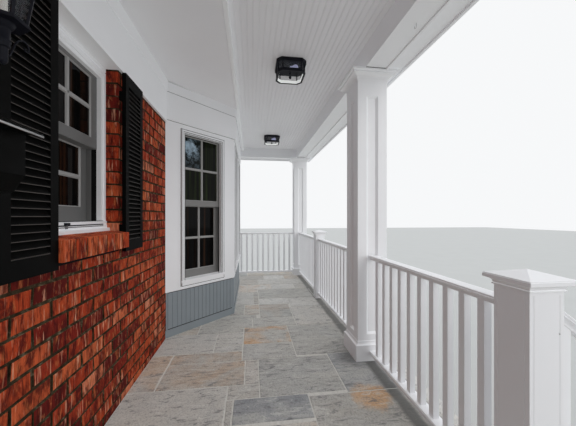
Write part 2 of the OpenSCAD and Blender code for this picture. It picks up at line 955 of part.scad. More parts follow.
module wall_lantern() {
    low = floor_z + 1820;
    body_h = 240;
    arm_z = floor_z + 1727;
    wall_gap = face_y - lantern_y;
    color("black") translate([lantern_x, lantern_y, 0]) {
        translate([0, 0, low]) {
            cylinder(h = 10, r = 60, $fn = 6);
            for (i = [0 : 5]) rotate(60 * i) multmatrix([
                [1, 0, 0.15, 48], [0, 1, 0, -4], [0, 0, 1, 9], [0, 0, 0, 1]
            ]) cube([7, 8, body_h - 12]);
            translate([0, 0, body_h - 4]) cylinder(h = 10, r = 100, $fn = 6);
            translate([0, 0, body_h + 5]) rotate_extrude() polygon([
                [0, 0], [84, 0], [70, 26], [44, 46], [30, 66],
                [14, 74], [13, 88], [20, 98], [8, 116], [0, 120]
            ]);
        }
        translate([0, 0, arm_z - 30]) rotate_extrude() polygon([
            [0, 0], [6, 3], [11, 9], [12, 14], [12, 50], [17, 53], [17, 66], [19, 69], [19, 72], [17, 75],
            [17, 106], [24, 112], [29, 124], [0, 124]
        ]);
        translate([0, 6, arm_z]) rotate([-90, 0, 0]) cylinder(h = wall_gap - 6, r = 9);
        translate([0, wall_gap - 12, arm_z]) rotate([-90, 0, 0]) cylinder(h = 12, r = 58);
    }
}

// Wall mailbox with a sloping lid that overhangs the box

module mailbox() {
    half = mailbox_w / 2;
    color("black") translate([mailbox_x, face_y, floor_z]) {
        translate([8 - half, 0, 0]) run_x(mailbox_w - 16) polygon([
            [0, 1330], [-108, 1330], [-143, 1385], [-143, 1520], [0, 1590]
        ]);
        translate([-half, 0, 0]) run_x(mailbox_w) polygon([
            [0, 1610], [-6, 1610], [-190, 1524], [-192, 1510],
            [-186, 1510], [-184, 1518], [-143, 1520], [0, 1588]
        ]);
    }
}

foundation();
stone_floor();
step_base();
lower_tread();
upper_tread();
near_column();
middle_column();
far_column();
stair_newel();
middle_newel();
left_foot_newel();
right_foot_newel();
near_end_railing();
entry_railing();
middle_railing();
far_railing();
far_end_railing();
left_stair_railing();
right_stair_railing();
front_beam();
near_end_beam();
far_end_beam();
bead_board_ceiling();
house_side_ceiling();
ceiling_trim();
eave_soffit();
fascia();
roof();
brick_wall();
wall_frieze();
window_brick_sill();
door_frame();
front_door();
wall_window_frame();
wall_window_sashes();
wall_window_glass();
near_shutter();
far_shutter();
bay_skirt();
bay_walls();
bay_cornice();
bay_near_sashes();
bay_near_glass();
bay_front_sashes();
bay_front_glass();
bay_far_sashes();
bay_far_glass();
near_ceiling_light();
far_ceiling_light();
wall_lantern();
mailbox();
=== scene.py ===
import json
import math
import random
import bpy
from mathutils import Matrix, Vector


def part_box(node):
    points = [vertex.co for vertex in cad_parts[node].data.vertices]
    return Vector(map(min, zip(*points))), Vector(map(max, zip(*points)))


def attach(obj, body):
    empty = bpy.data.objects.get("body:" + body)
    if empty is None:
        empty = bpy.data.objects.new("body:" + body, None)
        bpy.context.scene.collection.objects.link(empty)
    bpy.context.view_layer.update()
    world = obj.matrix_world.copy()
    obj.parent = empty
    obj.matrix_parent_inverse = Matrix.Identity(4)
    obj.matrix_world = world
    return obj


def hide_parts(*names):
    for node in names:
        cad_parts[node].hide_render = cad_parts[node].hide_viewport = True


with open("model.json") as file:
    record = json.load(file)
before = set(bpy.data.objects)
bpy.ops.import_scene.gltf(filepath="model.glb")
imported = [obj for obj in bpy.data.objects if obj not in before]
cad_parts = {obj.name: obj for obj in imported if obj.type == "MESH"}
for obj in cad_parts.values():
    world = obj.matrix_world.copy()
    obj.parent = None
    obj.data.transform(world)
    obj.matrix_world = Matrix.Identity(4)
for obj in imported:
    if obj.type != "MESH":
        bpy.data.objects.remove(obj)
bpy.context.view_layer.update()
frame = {"nodes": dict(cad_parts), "record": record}

# Lengths are in metres: +X runs along the porch, -Y faces the street, +Y goes into the house

# The photograph's eye point and framing
EYE = Vector((-2.401, 0.3565, 1.784))
YAW = math.radians(7.68)
LENS = 17.0
SENSOR = 36.0
SHIFT_UP = 0.0069

# Places taken from the CAD nodes
wall_low, wall_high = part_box("brick_wall")
FACE_Y, BACK_Y, WALL_TOP, WALL_X = wall_low.y, wall_high.y, wall_high.z, wall_high.x
floor_low, floor_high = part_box("stone_floor")
FLOOR_Z, EDGE_Y, FLOOR_X = floor_high.z, floor_low.y, floor_high.x


# Camera, light and floor

def add_camera():
    data = bpy.data.cameras.new("camera")
    data.sensor_width = SENSOR
    data.lens = LENS
    data.shift_y = SHIFT_UP
    data.clip_start = 0.02
    data.clip_end = 200
    camera = bpy.data.objects.new("camera", data)
    bpy.context.collection.objects.link(camera)
    camera.location = EYE
    camera.rotation_euler = (math.pi / 2, 0, -math.pi / 2 - YAW)
    bpy.context.scene.camera = camera


# The sky as it lights the porch, and as it is seen
AMBIENT = (0.86, 0.88, 0.92)
BACKDROP = (0.93, 0.94, 0.95)

# Lamps: name, energy, spread in degrees, the direction they stand in, colour, and whether they cast a shadow
SUNS = (
    ("key", 0.8, 45, (-0.85, -0.42, 0.32), (1.0, 0.98, 0.95), True),
    ("fill_from_above", 0.88, 60, (0, 0, 1), (1.0, 1.0, 1.0), False),
    ("fill_from_below", 0.47, 60, (-0.1, -0.1, -1), (0.98, 1.0, 0.96), False),
    ("fill_from_street", 0.35, 60, (-0.45, -1, 0.1), (0.97, 0.98, 1.0), False),
    ("fill_from_house", 0.10, 60, (0, 1, 0.1), (1.0, 0.96, 1.0), False),
)


def add_light():
    world = bpy.data.worlds.new("sky")
    bpy.context.scene.world = world
    world.use_nodes = True
    nodes, links = world.node_tree.nodes, world.node_tree.links
    ambient, backdrop = nodes["Background"], nodes.new("ShaderNodeBackground")
    ambient.inputs["Color"].default_value = (*AMBIENT, 1)
    backdrop.inputs["Color"].default_value = (*BACKDROP, 1)
    path = nodes.new("ShaderNodeLightPath")
    seen = path.outputs["Is Camera Ray"]
    for ray in ("Is Glossy Ray", "Is Transmission Ray"):
        either = nodes.new("ShaderNodeMath")
        either.operation = "MAXIMUM"
        links.new(seen, either.inputs[0])
        links.new(path.outputs[ray], either.inputs[1])
        seen = either.outputs[0]
    mix = nodes.new("ShaderNodeMixShader")
    links.new(seen, mix.inputs["Fac"])
    links.new(ambient.outputs[0], mix.inputs[1])
    links.new(backdrop.outputs[0], mix.inputs[2])
    links.new(mix.outputs[0], nodes["World Output"].inputs["Surface"])
    for name, energy, spread, towards, colour, shadow in SUNS:
        data = bpy.data.lights.new(name, "SUN")
        data.energy = energy
        data.angle = math.radians(spread)
        data.color = colour
        data.use_shadow = shadow
        holder = bpy.data.objects.new(name, data)
        bpy.context.collection.objects.link(holder)
        holder.rotation_euler = Vector(towards).to_track_quat("Z", "Y").to_euler()


def add_floor():
    bpy.ops.mesh.primitive_plane_add(size=80)
    floor = bpy.context.object
    floor.name = "studio_floor"
    paper = Finish("pale_floor", 0.9)
    paper.colour(paper.blend(paper.noise(1.5), (0.43, 0.44, 0.43), (0.47, 0.48, 0.47)))
    floor.data.materials.append(paper.material)


# Materials

# How far a full step of tone moves a brick's pattern along
TONE_SHIFT = 90


class Finish:
    """A procedural material round one Principled shader, in the object's own coordinates."""

    def __init__(self, name, roughness, metallic=0.0, specular=0.5):
        self.material = bpy.data.materials.new(name)
        self.material.use_nodes = True
        self.tree = self.material.node_tree
        self.shader = self.tree.nodes["Principled BSDF"]
        self.normal = None
        self.set("Roughness", roughness)
        self.set("Metallic", metallic)
        self.set("Specular IOR Level", specular)

    def feed(self, socket, value):
        if isinstance(value, bpy.types.NodeSocket):
            self.tree.links.new(value, socket)
        elif isinstance(value, tuple):
            socket.default_value = (*value, 1) if len(socket.default_value) == 4 else value
        else:
            socket.default_value = value

    def set(self, name, value):
        self.feed(self.shader.inputs[name], value)

    def node(self, kind, output, inputs, **settings):
        """Adds a node with its settings and inputs, and returns one of its outputs."""
        node = self.tree.nodes.new("ShaderNode" + kind)
        for name, value in settings.items():
            setattr(node, name, value)
        for socket, value in inputs.items():
            self.feed(node.inputs[socket], value)
        return node.outputs[output]

    def place(self, stretch=(1, 1, 1)):
        here = self.node("TexCoord", "Object", {})
        return self.node("Mapping", "Vector", {"Vector": here, "Scale": stretch})

    def tones(self):
        """The colour attribute that the pieces' meshes carry."""
        return self.node("Attribute", "Color", {}, attribute_name="tone")

    def tone(self, channel):
        return self.node("SeparateColor", channel, {"Color": self.tones()})

    def own_place(self, stretch):
        """The place moved along by the tone attribute, so that every brick has a pattern of its own."""
        return self.node("VectorMath", "Vector", {0: self.tones(), 1: (TONE_SHIFT,) * 3, 2: self.place(stretch)},
                         operation="MULTIPLY_ADD")

    def noise(self, scale, detail=3.0, roughness=0.5, stretch=(1, 1, 1), distortion=0.0, at=None):
        return self.node("TexNoise", "Fac", {
            "Scale": scale, "Detail": detail, "Roughness": roughness, "Distortion": distortion,
            "Vector": at or self.place(stretch)})

    def ramp(self, factor, *stops):
        """A ramp through stops of (position, colour), where a single number stands for a grey."""
        node = self.tree.nodes.new("ShaderNodeValToRGB")
        self.feed(node.inputs["Fac"], factor)
        elements = node.color_ramp.elements
        while len(elements) < len(stops):
            elements.new(0.5)
        for element, (position, colour) in zip(elements, stops):
            element.position = position
            element.color = (*colour, 1) if isinstance(colour, tuple) else (colour, colour, colour, 1)
        return node.outputs["Color"]

    def blend(self, factor, a, b):
        return self.node("Mix", 2, {0: factor, 6: a, 7: b}, data_type="RGBA")

    def layered(self, body, *layers):
        """Colours laid over the body in turn, each as (mask, colour, *stops of the ramp that the mask goes through)."""
        for mask, colour, *stops in layers:
            body = self.blend(self.ramp(mask, *stops), body, colour)
        return body

    def maths(self, operation, a, b):
        return self.node("Math", 0, {0: a, 1: b}, operation=operation)

    def roughened(self, value, scale, amount, *grain):
        """A value with some noise added to it, so that a mask made from it gets a ragged edge."""
        return self.maths("ADD", value, self.maths("MULTIPLY", self.noise(scale, *grain), amount))

    def axis(self, name):
        return self.node("SeparateXYZ", name, {0: self.place()})

    def distance_to(self, point):
        return self.node("VectorMath", "Value", {0: self.place(), 1: point}, operation="DISTANCE")

    def colour(self, value):
        self.set("Base Color", value)

    def gloss(self, factor, low, high):
        self.set("Roughness", self.node("MapRange", "Result", {"Value": factor, "To Min": low, "To Max": high}))

    def bump(self, height, distance, strength):
        inputs = {"Strength": strength, "Distance": distance, "Height": height}
        if self.normal:
            inputs["Normal"] = self.normal
        self.normal = self.node("Bump", "Normal", inputs)
        self.set("Normal", self.normal)


def painted(name, low, high, roughness=0.42, grain=(1, 1, 0.12)):
    """Brushed paint on wood: slight unevenness in colour and sheen, and faint brush marks along the grain."""
    f = Finish(name, roughness)
    f.colour(f.blend(f.noise(2.2, 4, 0.6), low, high))
    f.gloss(f.noise(7, 3), roughness - 0.07, roughness + 0.1)
    f.bump(f.noise(160, 3, 0.6, grain), 0.0004, 0.35)
    f.bump(f.noise(9, 2), 0.0012, 0.25)
    return f.material


# Colours of the darkest to the palest brick and flag
CLAY = ((0.0, (0.085, 0.007, 0.006)), (0.3, (0.24, 0.020, 0.010)), (0.6, (0.43, 0.054, 0.016)),
        (0.85, (0.59, 0.122, 0.042)), (1.0, (0.70, 0.25, 0.14)))
BLUESTONE = ((0.0, (0.135, 0.145, 0.158)), (0.25, (0.245, 0.255, 0.265)), (0.5, (0.345, 0.335, 0.305)),
             (0.75, (0.460, 0.435, 0.395)), (1.0, (0.68, 0.67, 0.64)))


def brick_finish():
    """Wire-cut clay: the tone attribute picks each brick's colour, with dark and pale patches and upright drags; the
    drags' pale ridges are partly the clay's own streaks and partly painted highlight, and their grooves are painted
    shade.
    """
    f = Finish("fired_brick", 0.9, specular=0.1)
    burnt, warm, drags = (f.noise(1, *grain, distortion=bend, at=f.own_place(stretch)) for grain, bend, stretch in (
        ((5, 0.65), 0.4, (20, 20, 9)), ((4, 0.6), 0.3, (34, 34, 12)), ((4, 0.6), 0.3, (58, 58, 5))))
    fine = f.noise(1, 4, 0.7, (240, 240, 16))
    f.colour(f.layered(
        f.ramp(f.tone("Red"), *CLAY),
        (burnt, (0.055, 0.005, 0.005), (0.40, 0.85), (0.54, 0.0)),
        (warm, (0.57, 0.165, 0.055), (0.55, 0.0), (0.68, 0.7)),
        # Painted highlight and shade: the drags' ridges paler, partly the clay's own streaks, and their grooves darker
        (drags, (0.76, 0.37, 0.23), (0.58, 0.0), (0.68, 0.9)),
        (drags, (0.045, 0.005, 0.004), (0.32, 0.85), (0.42, 0.0)),
        (fine, (0.07, 0.009, 0.006), (0.36, 0.55), (0.56, 0.0))))
    f.bump(drags, 0.006, 0.7)
    f.bump(fine, 0.0022, 0.8)
    f.bump(f.noise(110, 4, 0.7), 0.0018, 0.7)
    return f.material


def gritty(name, specular, mottle, stops, grit, depth, strength):
    """Mortar or grout: a mottled colour and a rough face."""
    f = Finish(name, 0.95, specular=specular)
    f.colour(f.ramp(f.noise(*mottle), *stops))
    f.bump(f.noise(*grit), depth, strength)
    return f.material


# The line of the railings, the rust stain under them and the place on the bay's glass where a reflection of the sky is
# painted
RAIL_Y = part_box("middle_column")[1].y - 0.148
RUST_SPOT = (-0.60, -0.475, FLOOR_Z)
SKY_SPOT = (0.765, 0.995, 2.590)


def rust_mask(f):
    """Rust where the tone's green channel allows it, and one stain near the middle column."""
    rust = f.maths("MULTIPLY", f.ramp(f.noise(2.6, 5, 0.6, distortion=0.9), (0.40, 0.0), (0.60, 1.0)), f.tone("Green"))
    stain = f.ramp(f.roughened(f.distance_to(RUST_SPOT), 14, 0.16, 4), (0.18, 1.0), (0.25, 0.0))
    return f.maths("MAXIMUM", rust, f.maths("MULTIPLY", stain, 0.85))


def painted_shade_mask(f):
    """Painted shade: a dark strip under the railings beyond the steps, and a patch round the base of the middle column,
    standing for their contact shadows.
    """
    across = f.roughened(f.axis("Y"), 9, 0.035, 4)
    strip = f.ramp(f.maths("ABSOLUTE", f.maths("SUBTRACT", across, RAIL_Y), 0.0), (0.030, 0.9), (0.062, 0.0))
    railed = f.ramp(f.maths("ADD", f.maths("MULTIPLY", f.axis("X"), 0.1), 0.5), (0.355, 0.0), (0.36, 1.0))
    near_base = f.roughened(f.distance_to((0, RAIL_Y, FLOOR_Z)), 6, 0.25, 4)
    return f.maths("MAXIMUM", f.maths("MULTIPLY", strip, railed), f.ramp(near_base, (0.25, 0.65), (0.44, 0.0)))


def flag_finish():
    """Cleft bluestone: the tone attribute picks each flag's colour."""
    f = Finish("cleft_bluestone", 0.55, specular=0.5)
    body = f.layered(
        f.ramp(f.tone("Red"), *BLUESTONE),
        (f.noise(3.4, 6, 0.65, distortion=0.7), (0.43, 0.43, 0.42), (0.34, 0.0), (0.72, 0.6)),
        (f.noise(5.5, 5, 0.65, distortion=0.5), (0.25, 0.255, 0.26), (0.56, 0.0), (0.76, 0.5)))
    body = f.blend(rust_mask(f), body, (0.52, 0.29, 0.12))
    ridges = f.noise(1, 7, 0.7, (26, 8, 8), 1.2)
    body = f.layered(
        body,
        (f.noise(1, 4, 0.6, (5, 1.8, 5), 1.0), (0.53, 0.51, 0.46), (0.50, 0.0), (0.70, 0.5)),
        (ridges, (0.11, 0.112, 0.115), (0.38, 0.75), (0.45, 0.0)),
        (ridges, (0.60, 0.59, 0.55), (0.54, 0.0), (0.64, 0.5)),
        (f.noise(75, 5, 0.8), (0.10, 0.105, 0.11), (0.30, 0.75), (0.52, 0.0)),
        (f.noise(95, 5, 0.8), (0.60, 0.59, 0.56), (0.56, 0.0), (0.78, 0.6)))
    # Painted shade darkens the floor under the railings and round the middle column's base
    f.colour(f.blend(painted_shade_mask(f), body, (0.10, 0.10, 0.095)))
    f.gloss(f.noise(12, 4), 0.36, 0.66)
    f.bump(ridges, 0.006, 0.6)
    f.bump(f.noise(70, 5, 0.7), 0.0022, 0.7)
    return f.material


def shingle_finish():
    f = Finish("mineral_shingle", 0.95, specular=0.2)
    body = f.ramp(f.tone("Red"), (0.0, (0.045, 0.046, 0.050)), (0.5, (0.085, 0.085, 0.088)), (1.0, (0.15, 0.145, 0.14)))
    f.colour(f.layered(body, (f.noise(420, 2), (0.26, 0.25, 0.24), (0.4, 0.0), (0.7, 0.5))))
    f.bump(f.noise(420, 2), 0.0014, 0.9)
    return f.material


def black_finish(name, roughness, tint, specular):
    f = Finish(name, roughness, specular=specular)
    f.colour(f.blend(f.noise(12, 4, 0.6), tint, tuple(2.1 * c for c in tint)))
    f.gloss(f.noise(25, 4), roughness - 0.08, roughness + 0.12)
    f.bump(f.noise(190, 3, 0.6, (1, 1, 0.3)), 0.0005, 0.4)
    return f.material


def pane_finish(name, low, middle, high):
    """A pane painted with the shade of the dark room behind it, with dim upright folds of drapes there."""
    f = Finish(name, 0.05, specular=0.05)
    drapes = f.noise(1, 2, 0.5, (30, 30, 0.8))
    f.colour(f.ramp(drapes, (0.45, low), (0.60, middle), (0.72, high)))
    f.bump(f.noise(1.6, 2), 0.004, 0.25)
    return f.material


def sky_pane_finish():
    """The upper pane of the bay, with a soft reflection of sky between trees painted into its colour."""
    f = Finish("sky_pane", 0.05, specular=0.05)
    spread = f.roughened(f.distance_to(SKY_SPOT), 7, 0.30, 4, 0.6)
    bright = f.ramp(spread, (0.20, 1.0), (0.30, 0.25), (0.48, 0.05))
    speckle = f.ramp(f.noise(20, 6, 0.72, distortion=0.6), (0.47, 0.0), (0.60, 1.0))
    body = f.blend(f.maths("MULTIPLY", bright, speckle), (0.008, 0.010, 0.009), (0.30, 0.40, 0.48))
    f.colour(f.layered(body, (spread, (0.42, 0.55, 0.66), (0.17, 0.85), (0.235, 0.0))))
    f.bump(f.noise(1.6, 2), 0.004, 0.25)
    return f.material


def clear_glass():
    f = Finish("clear_pane", 0.03)
    f.colour(f.blend(f.noise(8), (0.06, 0.07, 0.08), (0.12, 0.13, 0.14)))
    f.set("Alpha", 0.12)
    return f.material


# A frosted finish; a glow above 0 gives it painted light
def frosted(name, colour, glow):
    f = Finish(name, 0.35)
    f.colour(f.blend(f.noise(30), colour, tuple(min(1, 1.05 * c) for c in colour)))
    f.set("Emission Color", colour)
    f.set("Emission Strength", glow)
    return f.material


def metal_finish(name, colour, roughness):
    f = Finish(name, roughness, 1.0)
    f.colour(f.blend(f.noise(15, 4), colour, tuple(0.8 * c for c in colour)))
    f.gloss(f.noise(60, 3), roughness - 0.05, roughness + 0.15)
    f.bump(f.noise(220, 2), 0.0003, 0.3)
    return f.material


WHITE = painted("white_paint", (0.77, 0.775, 0.79), (0.83, 0.835, 0.85))
CEILING = painted("ceiling_paint", (0.71, 0.70, 0.73), (0.76, 0.76, 0.77), 0.5, (0.12, 1, 1))
SASH = painted("sash_paint", (0.15, 0.148, 0.145), (0.20, 0.197, 0.19), 0.45)
# A darker copy of the sash paint: painted shade on the wall window's sashes
WALL_SASH = painted("wall_sash_paint_painted_shade", (0.095, 0.094, 0.092), (0.130, 0.129, 0.126), 0.45)
# A paler copy of the sash paint on the muntins and the rebates round the glass: painted light where these narrow parts
# catch it
BEAD = painted("sash_paint_with_painted_light", (0.27, 0.265, 0.26), (0.33, 0.325, 0.32), 0.4)
SKIRT = painted("skirt_paint", (0.185, 0.215, 0.235), (0.255, 0.288, 0.310), 0.5)
LOUVRE = black_finish("black_wood_paint", 0.45, (0.0018, 0.0018, 0.0017), 0.03)
IRON = black_finish("black_metal", 0.40, (0.0045, 0.0048, 0.0075), 0.10)
DOOR = black_finish("door_enamel", 0.3, (0.008, 0.008, 0.009), 0.4)
# A paler black for painted highlights on the shutter blades' front edges
BLADE_HIGHLIGHT_BLACK = black_finish("black_painted_highlight", 0.4, (0.030, 0.025, 0.022), 0.2)
# Dark lines of painted shade along the grooves and edges of mouldings, sills and boards
LINE_OF_SHADE = black_finish("shade_line_black", 0.9, (0.022, 0.022, 0.022), 0.05)
# Near-black painted shade for the sash tracks, the gaps at the capitals and the shadow under the brick sill
SHADE_BLACK = black_finish("painted_shade_black", 0.9, (0.006, 0.006, 0.006), 0.05)
BRICK = brick_finish()
# The mortar is mostly painted near black as the shade in its raked joints, with paler spots of the mortar's own colour
MORTAR = gritty("mortar", 0.05, (24, 5, 0.7), (
    (0.35, (0.022, 0.014, 0.008)), (0.56, (0.060, 0.044, 0.024)), (0.74, (0.26, 0.21, 0.14))),
    (220, 4, 0.75), 0.003, 0.9)
FLAG = flag_finish()
GROUT = gritty("grout", 0.2, (50, 4, 0.7), (
    (0.3, (0.46, 0.45, 0.42)), (0.8, (0.66, 0.65, 0.61))), (240, 4, 0.7), 0.0015, 0.7)
SHINGLE = shingle_finish()
# The panes are painted dark with the shade of the unlit rooms behind them
PANE = pane_finish("dark_pane", (0.003, 0.003, 0.003), (0.010, 0.006, 0.004), (0.026, 0.012, 0.007))
GREEN_PANE = pane_finish("green_pane", (0.004, 0.004, 0.003), (0.012, 0.017, 0.006), (0.026, 0.042, 0.012))
SKY_PANE = sky_pane_finish()
CLEAR = clear_glass()
# The bulb and the enamel trim glow with painted light
BULB = frosted("frosted_bulb_painted_glow", (0.36, 0.37, 0.56), 0.45)
CANDLE = frosted("candle_tube", (0.80, 0.78, 0.72), 0.0)
ENAMEL = frosted("white_enamel_painted_glow", (0.86, 0.88, 0.86), 0.45)
# Bare metal for the hook and nail, and a painted highlight along the mailbox lid's edge
BARE_METAL_AND_HIGHLIGHT = metal_finish("bare_metal_and_painted_highlight", (0.62, 0.62, 0.62), 0.35)
FLASHING = metal_finish("dull_metal", (0.20, 0.20, 0.21), 0.55)

OF_SLOT = {"white_paint": WHITE, "ceiling_paint": CEILING, "brick": BRICK, "bluestone": FLAG,
           "sash_paint": SASH, "window_glass": PANE, "skirt_paint": SKIRT, "shutter_black": LOUVRE,
           "black_metal": IRON, "roof_shingle": SHINGLE}
OWN_FINISH = {"front_door": DOOR, "mailbox": LOUVRE}


# Mesh building

# The tone of a face that has none of its own: its colour, from 0 to 1, and its rust
PLAIN = (0.5, 0.0)
# Radius that stands for a point where a turned profile meets its axis
TIP = 0.0002


class Builder:
    """Collects faces with a material number and a tone, and makes them one piece."""

    def __init__(self):
        self.points, self.faces, self.kinds, self.tones = [], [], [], []

    def add(self, points, faces, kinds, tone=PLAIN):
        start = len(self.points)
        self.points += [tuple(p) for p in points]
        self.faces += [tuple(start + i for i in face) for face in faces]
        self.kinds += kinds
        self.tones += [tone] * len(faces)

    def box(self, low, high, kind=0, at=None):
        corners = [Vector((x, y, z)) for z in (low[2], high[2]) for y in (low[1], high[1])
                   for x in (low[0], high[0])]
        if at:
            corners = [at @ c for c in corners]
        self.add(corners, [(0, 2, 3, 1), (4, 5, 7, 6), (0, 1, 5, 4), (2, 6, 7, 3), (0, 4, 6, 2), (1, 3, 7, 5)],
                 [kind] * 6)

    def rings(self, rings, kind=0, tone=PLAIN, first=True, last=True, loop=False):
        """Joins closed rings of equally many points, with a face on the first and the last, or all in a loop."""
        n = len(rings[0])
        faces = []
        for r in range(len(rings) - (not loop)):
            s = (r + 1) % len(rings)
            for i in range(n):
                j = (i + 1) % n
                faces.append((r * n + i, r * n + j, s * n + j, s * n + i))
        if first:
            faces.append(tuple(reversed(range(n))))
        if last:
            faces.append(tuple((len(rings) - 1) * n + i for i in range(n)))
        self.add([p for ring in rings for p in ring], faces, [kind] * len(faces), tone)

    def hoop(self, rings, kind=0):
        """Joins rings in a closed loop, as for a frame round an opening."""
        self.rings(rings, kind, first=False, last=False, loop=True)

    def prism(self, outline, x0, x1, kind=0, tone=PLAIN):
        """An outline in Y and Z, anticlockwise seen from +X, from x0 to x1."""
        self.rings([[Vector((x, y, z)) for y, z in outline] for x in (x0, x1)], kind, tone)

    def turned(self, outline, at, steps=24, kind=0):
        """A profile of (radius, height) turned about Z."""
        self.rings([[at @ Vector((max(radius, TIP) * math.cos(2 * math.pi * i / steps),
                                  max(radius, TIP) * math.sin(2 * math.pi * i / steps), height))
                     for i in range(steps)] for radius, height in outline], kind)

    def piece(self, name, materials, slot, replaces=(), bevel=0.0, smooth=False):
        mesh = bpy.data.meshes.new(name)
        mesh.from_pydata(self.points, [], self.faces)
        for material in materials:
            mesh.materials.append(material)
        mesh.polygons.foreach_set("material_index", self.kinds)
        layer = mesh.color_attributes.new("tone", "FLOAT_COLOR", "CORNER")
        values = []
        for face, tone in zip(self.faces, self.tones):
            values += [*tone, 0.0, 1.0] * len(face)
        layer.data.foreach_set("color", values)
        mesh.polygons.foreach_set("use_smooth", [smooth] * len(self.faces))
        mesh.update()
        piece = bpy.data.objects.new(name, mesh)
        bpy.context.collection.objects.link(piece)
        if bevel:
            soften(piece, bevel)
        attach(piece, "root")
        if replaces:
            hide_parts(*replaces)


def soften(piece, width):
    """Rounds a hard-edged piece's edges slightly."""
    rounding = piece.modifiers.new("edges", "BEVEL")
    rounding.width = width
    rounding.segments = 2
    rounding.limit_method = "ANGLE"
    rounding.angle_limit = math.radians(35)
    rounding.use_clamp_overlap = True


def both_ways(side, a, b):
    """The ends of a stretch from a to b on either side of the middle, in rising order."""
    return sorted((side * a, side * b))


# Bricks

COURSE = 0.0835
BRICK_PITCH = 0.213
JOINT = 0.010
# Height of the lowest bed joint's middle, and where an upright joint stands along the wall
COURSE_START = -0.0025
HEAD_START = -1.383
# Shorter and lower bits of brick than this aren't laid
MIN_BIT = 0.012
# How far in and how deep the rings of a brick's worn arris lie
ARRIS = ((0.0045, 0.0), (0.0014, 0.0016), (0.0, 0.0052))
# Thickness of the bricks in the wall and round the foundation and steps
WALL_WYTHE = 0.110
BASE_WYTHE = 0.092
# How deep the mortar lies behind the face of the bricks
RAKE = 0.011
# The bay's opening in the wall: its two sides and its top
BAY_OPENING = (0.663, 3.315, 2.759)
rng = random.Random(7)


def without(rect, holes):
    """What is left of a rectangle (u0, u1, z0, z1) outside the holes."""
    parts = [rect]
    for h0, h1, low, high in holes:
        left = []
        for u0, u1, z0, z1 in parts:
            a, b = max(u0, h0), min(u1, h1)
            if a >= b or z1 <= low or z0 >= high:
                left.append((u0, u1, z0, z1))
            else:
                left += [(u0, a, z0, z1), (b, u1, z0, z1), (a, b, z0, low), (a, b, high, z1)]
        parts = [p for p in left if p[0] < p[1] and p[2] < p[3]]
    return [p for p in parts if p[1] - p[0] > MIN_BIT and p[3] - p[2] > MIN_BIT]


def one_brick(b, origin, along, inward, rect, depth, tone, jointed):
    """A brick with worn arrises and an uneven face, open at the back, and mortar up its jointed sides."""
    u0, u1, z0, z1 = rect
    up = Vector((0, 0, 1))
    corners = [(u0, z0, 1, 1), (u1, z0, -1, 1), (u1, z1, -1, -1), (u0, z1, 1, -1)]
    jogs = [(rng.uniform(-0.0015, 0.003), rng.uniform(-0.0015, 0.003), rng.uniform(0.0, 0.004)) for _ in corners]

    def ring(inset, d, jog):
        return [origin + along * (u + su * (inset + jog * ju)) + up * (z + sz * (inset + jog * jz))
                + inward * (d + jog * jd) for (u, z, su, sz), (ju, jz, jd) in zip(corners, jogs)]

    rings = [ring(inset, d, 1) for inset, d in ARRIS] + [ring(0.0, depth, 0)]
    faces, kinds = [(0, 1, 2, 3)], [0]
    for r in range(len(ARRIS)):
        for i in range(4):
            j = (i + 1) % 4
            faces.append((r * 4 + i, (r + 1) * 4 + i, (r + 1) * 4 + j, r * 4 + j))
            kinds.append(1 if r and jointed[i] else 0)
    b.add([p for ring in rings for p in ring], faces, kinds, tone)


def tone_of_brick():
    """Most bricks are of a middle colour, a fifth or so dark and fewer pale."""
    kind = rng.random()
    if kind < 0.22:
        return (rng.uniform(0.0, 0.28), 0.0)
    if kind > 0.86:
        return (rng.uniform(0.80, 1.0), 0.0)
    return (rng.uniform(0.35, 0.78), 0.0)


def lay_bricks(b, origin, along, inward, u_range, z_range, depth, holes=()):
    """Running bond on a face: u runs along it and z up it, and inward points into the wall."""
    origin, along, inward = map(Vector, (origin, along, inward))
    course = math.floor((z_range[0] - COURSE_START) / COURSE)
    while COURSE_START + course * COURSE < z_range[1] - JOINT:
        z0 = max(z_range[0], COURSE_START + course * COURSE + JOINT / 2)
        z1 = min(z_range[1], COURSE_START + (course + 1) * COURSE - JOINT / 2)
        start = HEAD_START + (0 if course % 2 else BRICK_PITCH / 2)
        k = math.floor((u_range[0] - start) / BRICK_PITCH)
        while start + k * BRICK_PITCH < u_range[1] - JOINT:
            wobble = rng.uniform(-0.0015, 0.0015)
            u0 = max(u_range[0], start + k * BRICK_PITCH + JOINT / 2 + wobble)
            u1 = min(u_range[1], start + (k + 1) * BRICK_PITCH - JOINT / 2 + wobble)
            tone = tone_of_brick()
            if u1 - u0 > MIN_BIT and z1 - z0 > MIN_BIT:
                for rect in without((u0, u1, z0, z1), holes):
                    jointed = (rect[2] == z0 > z_range[0], rect[1] == u1 < u_range[1],
                               rect[3] == z1 < z_range[1], rect[0] == u0 > u_range[0])
                    one_brick(b, origin, along, inward, rect, depth, tone, jointed)
            k += 1
        course += 1


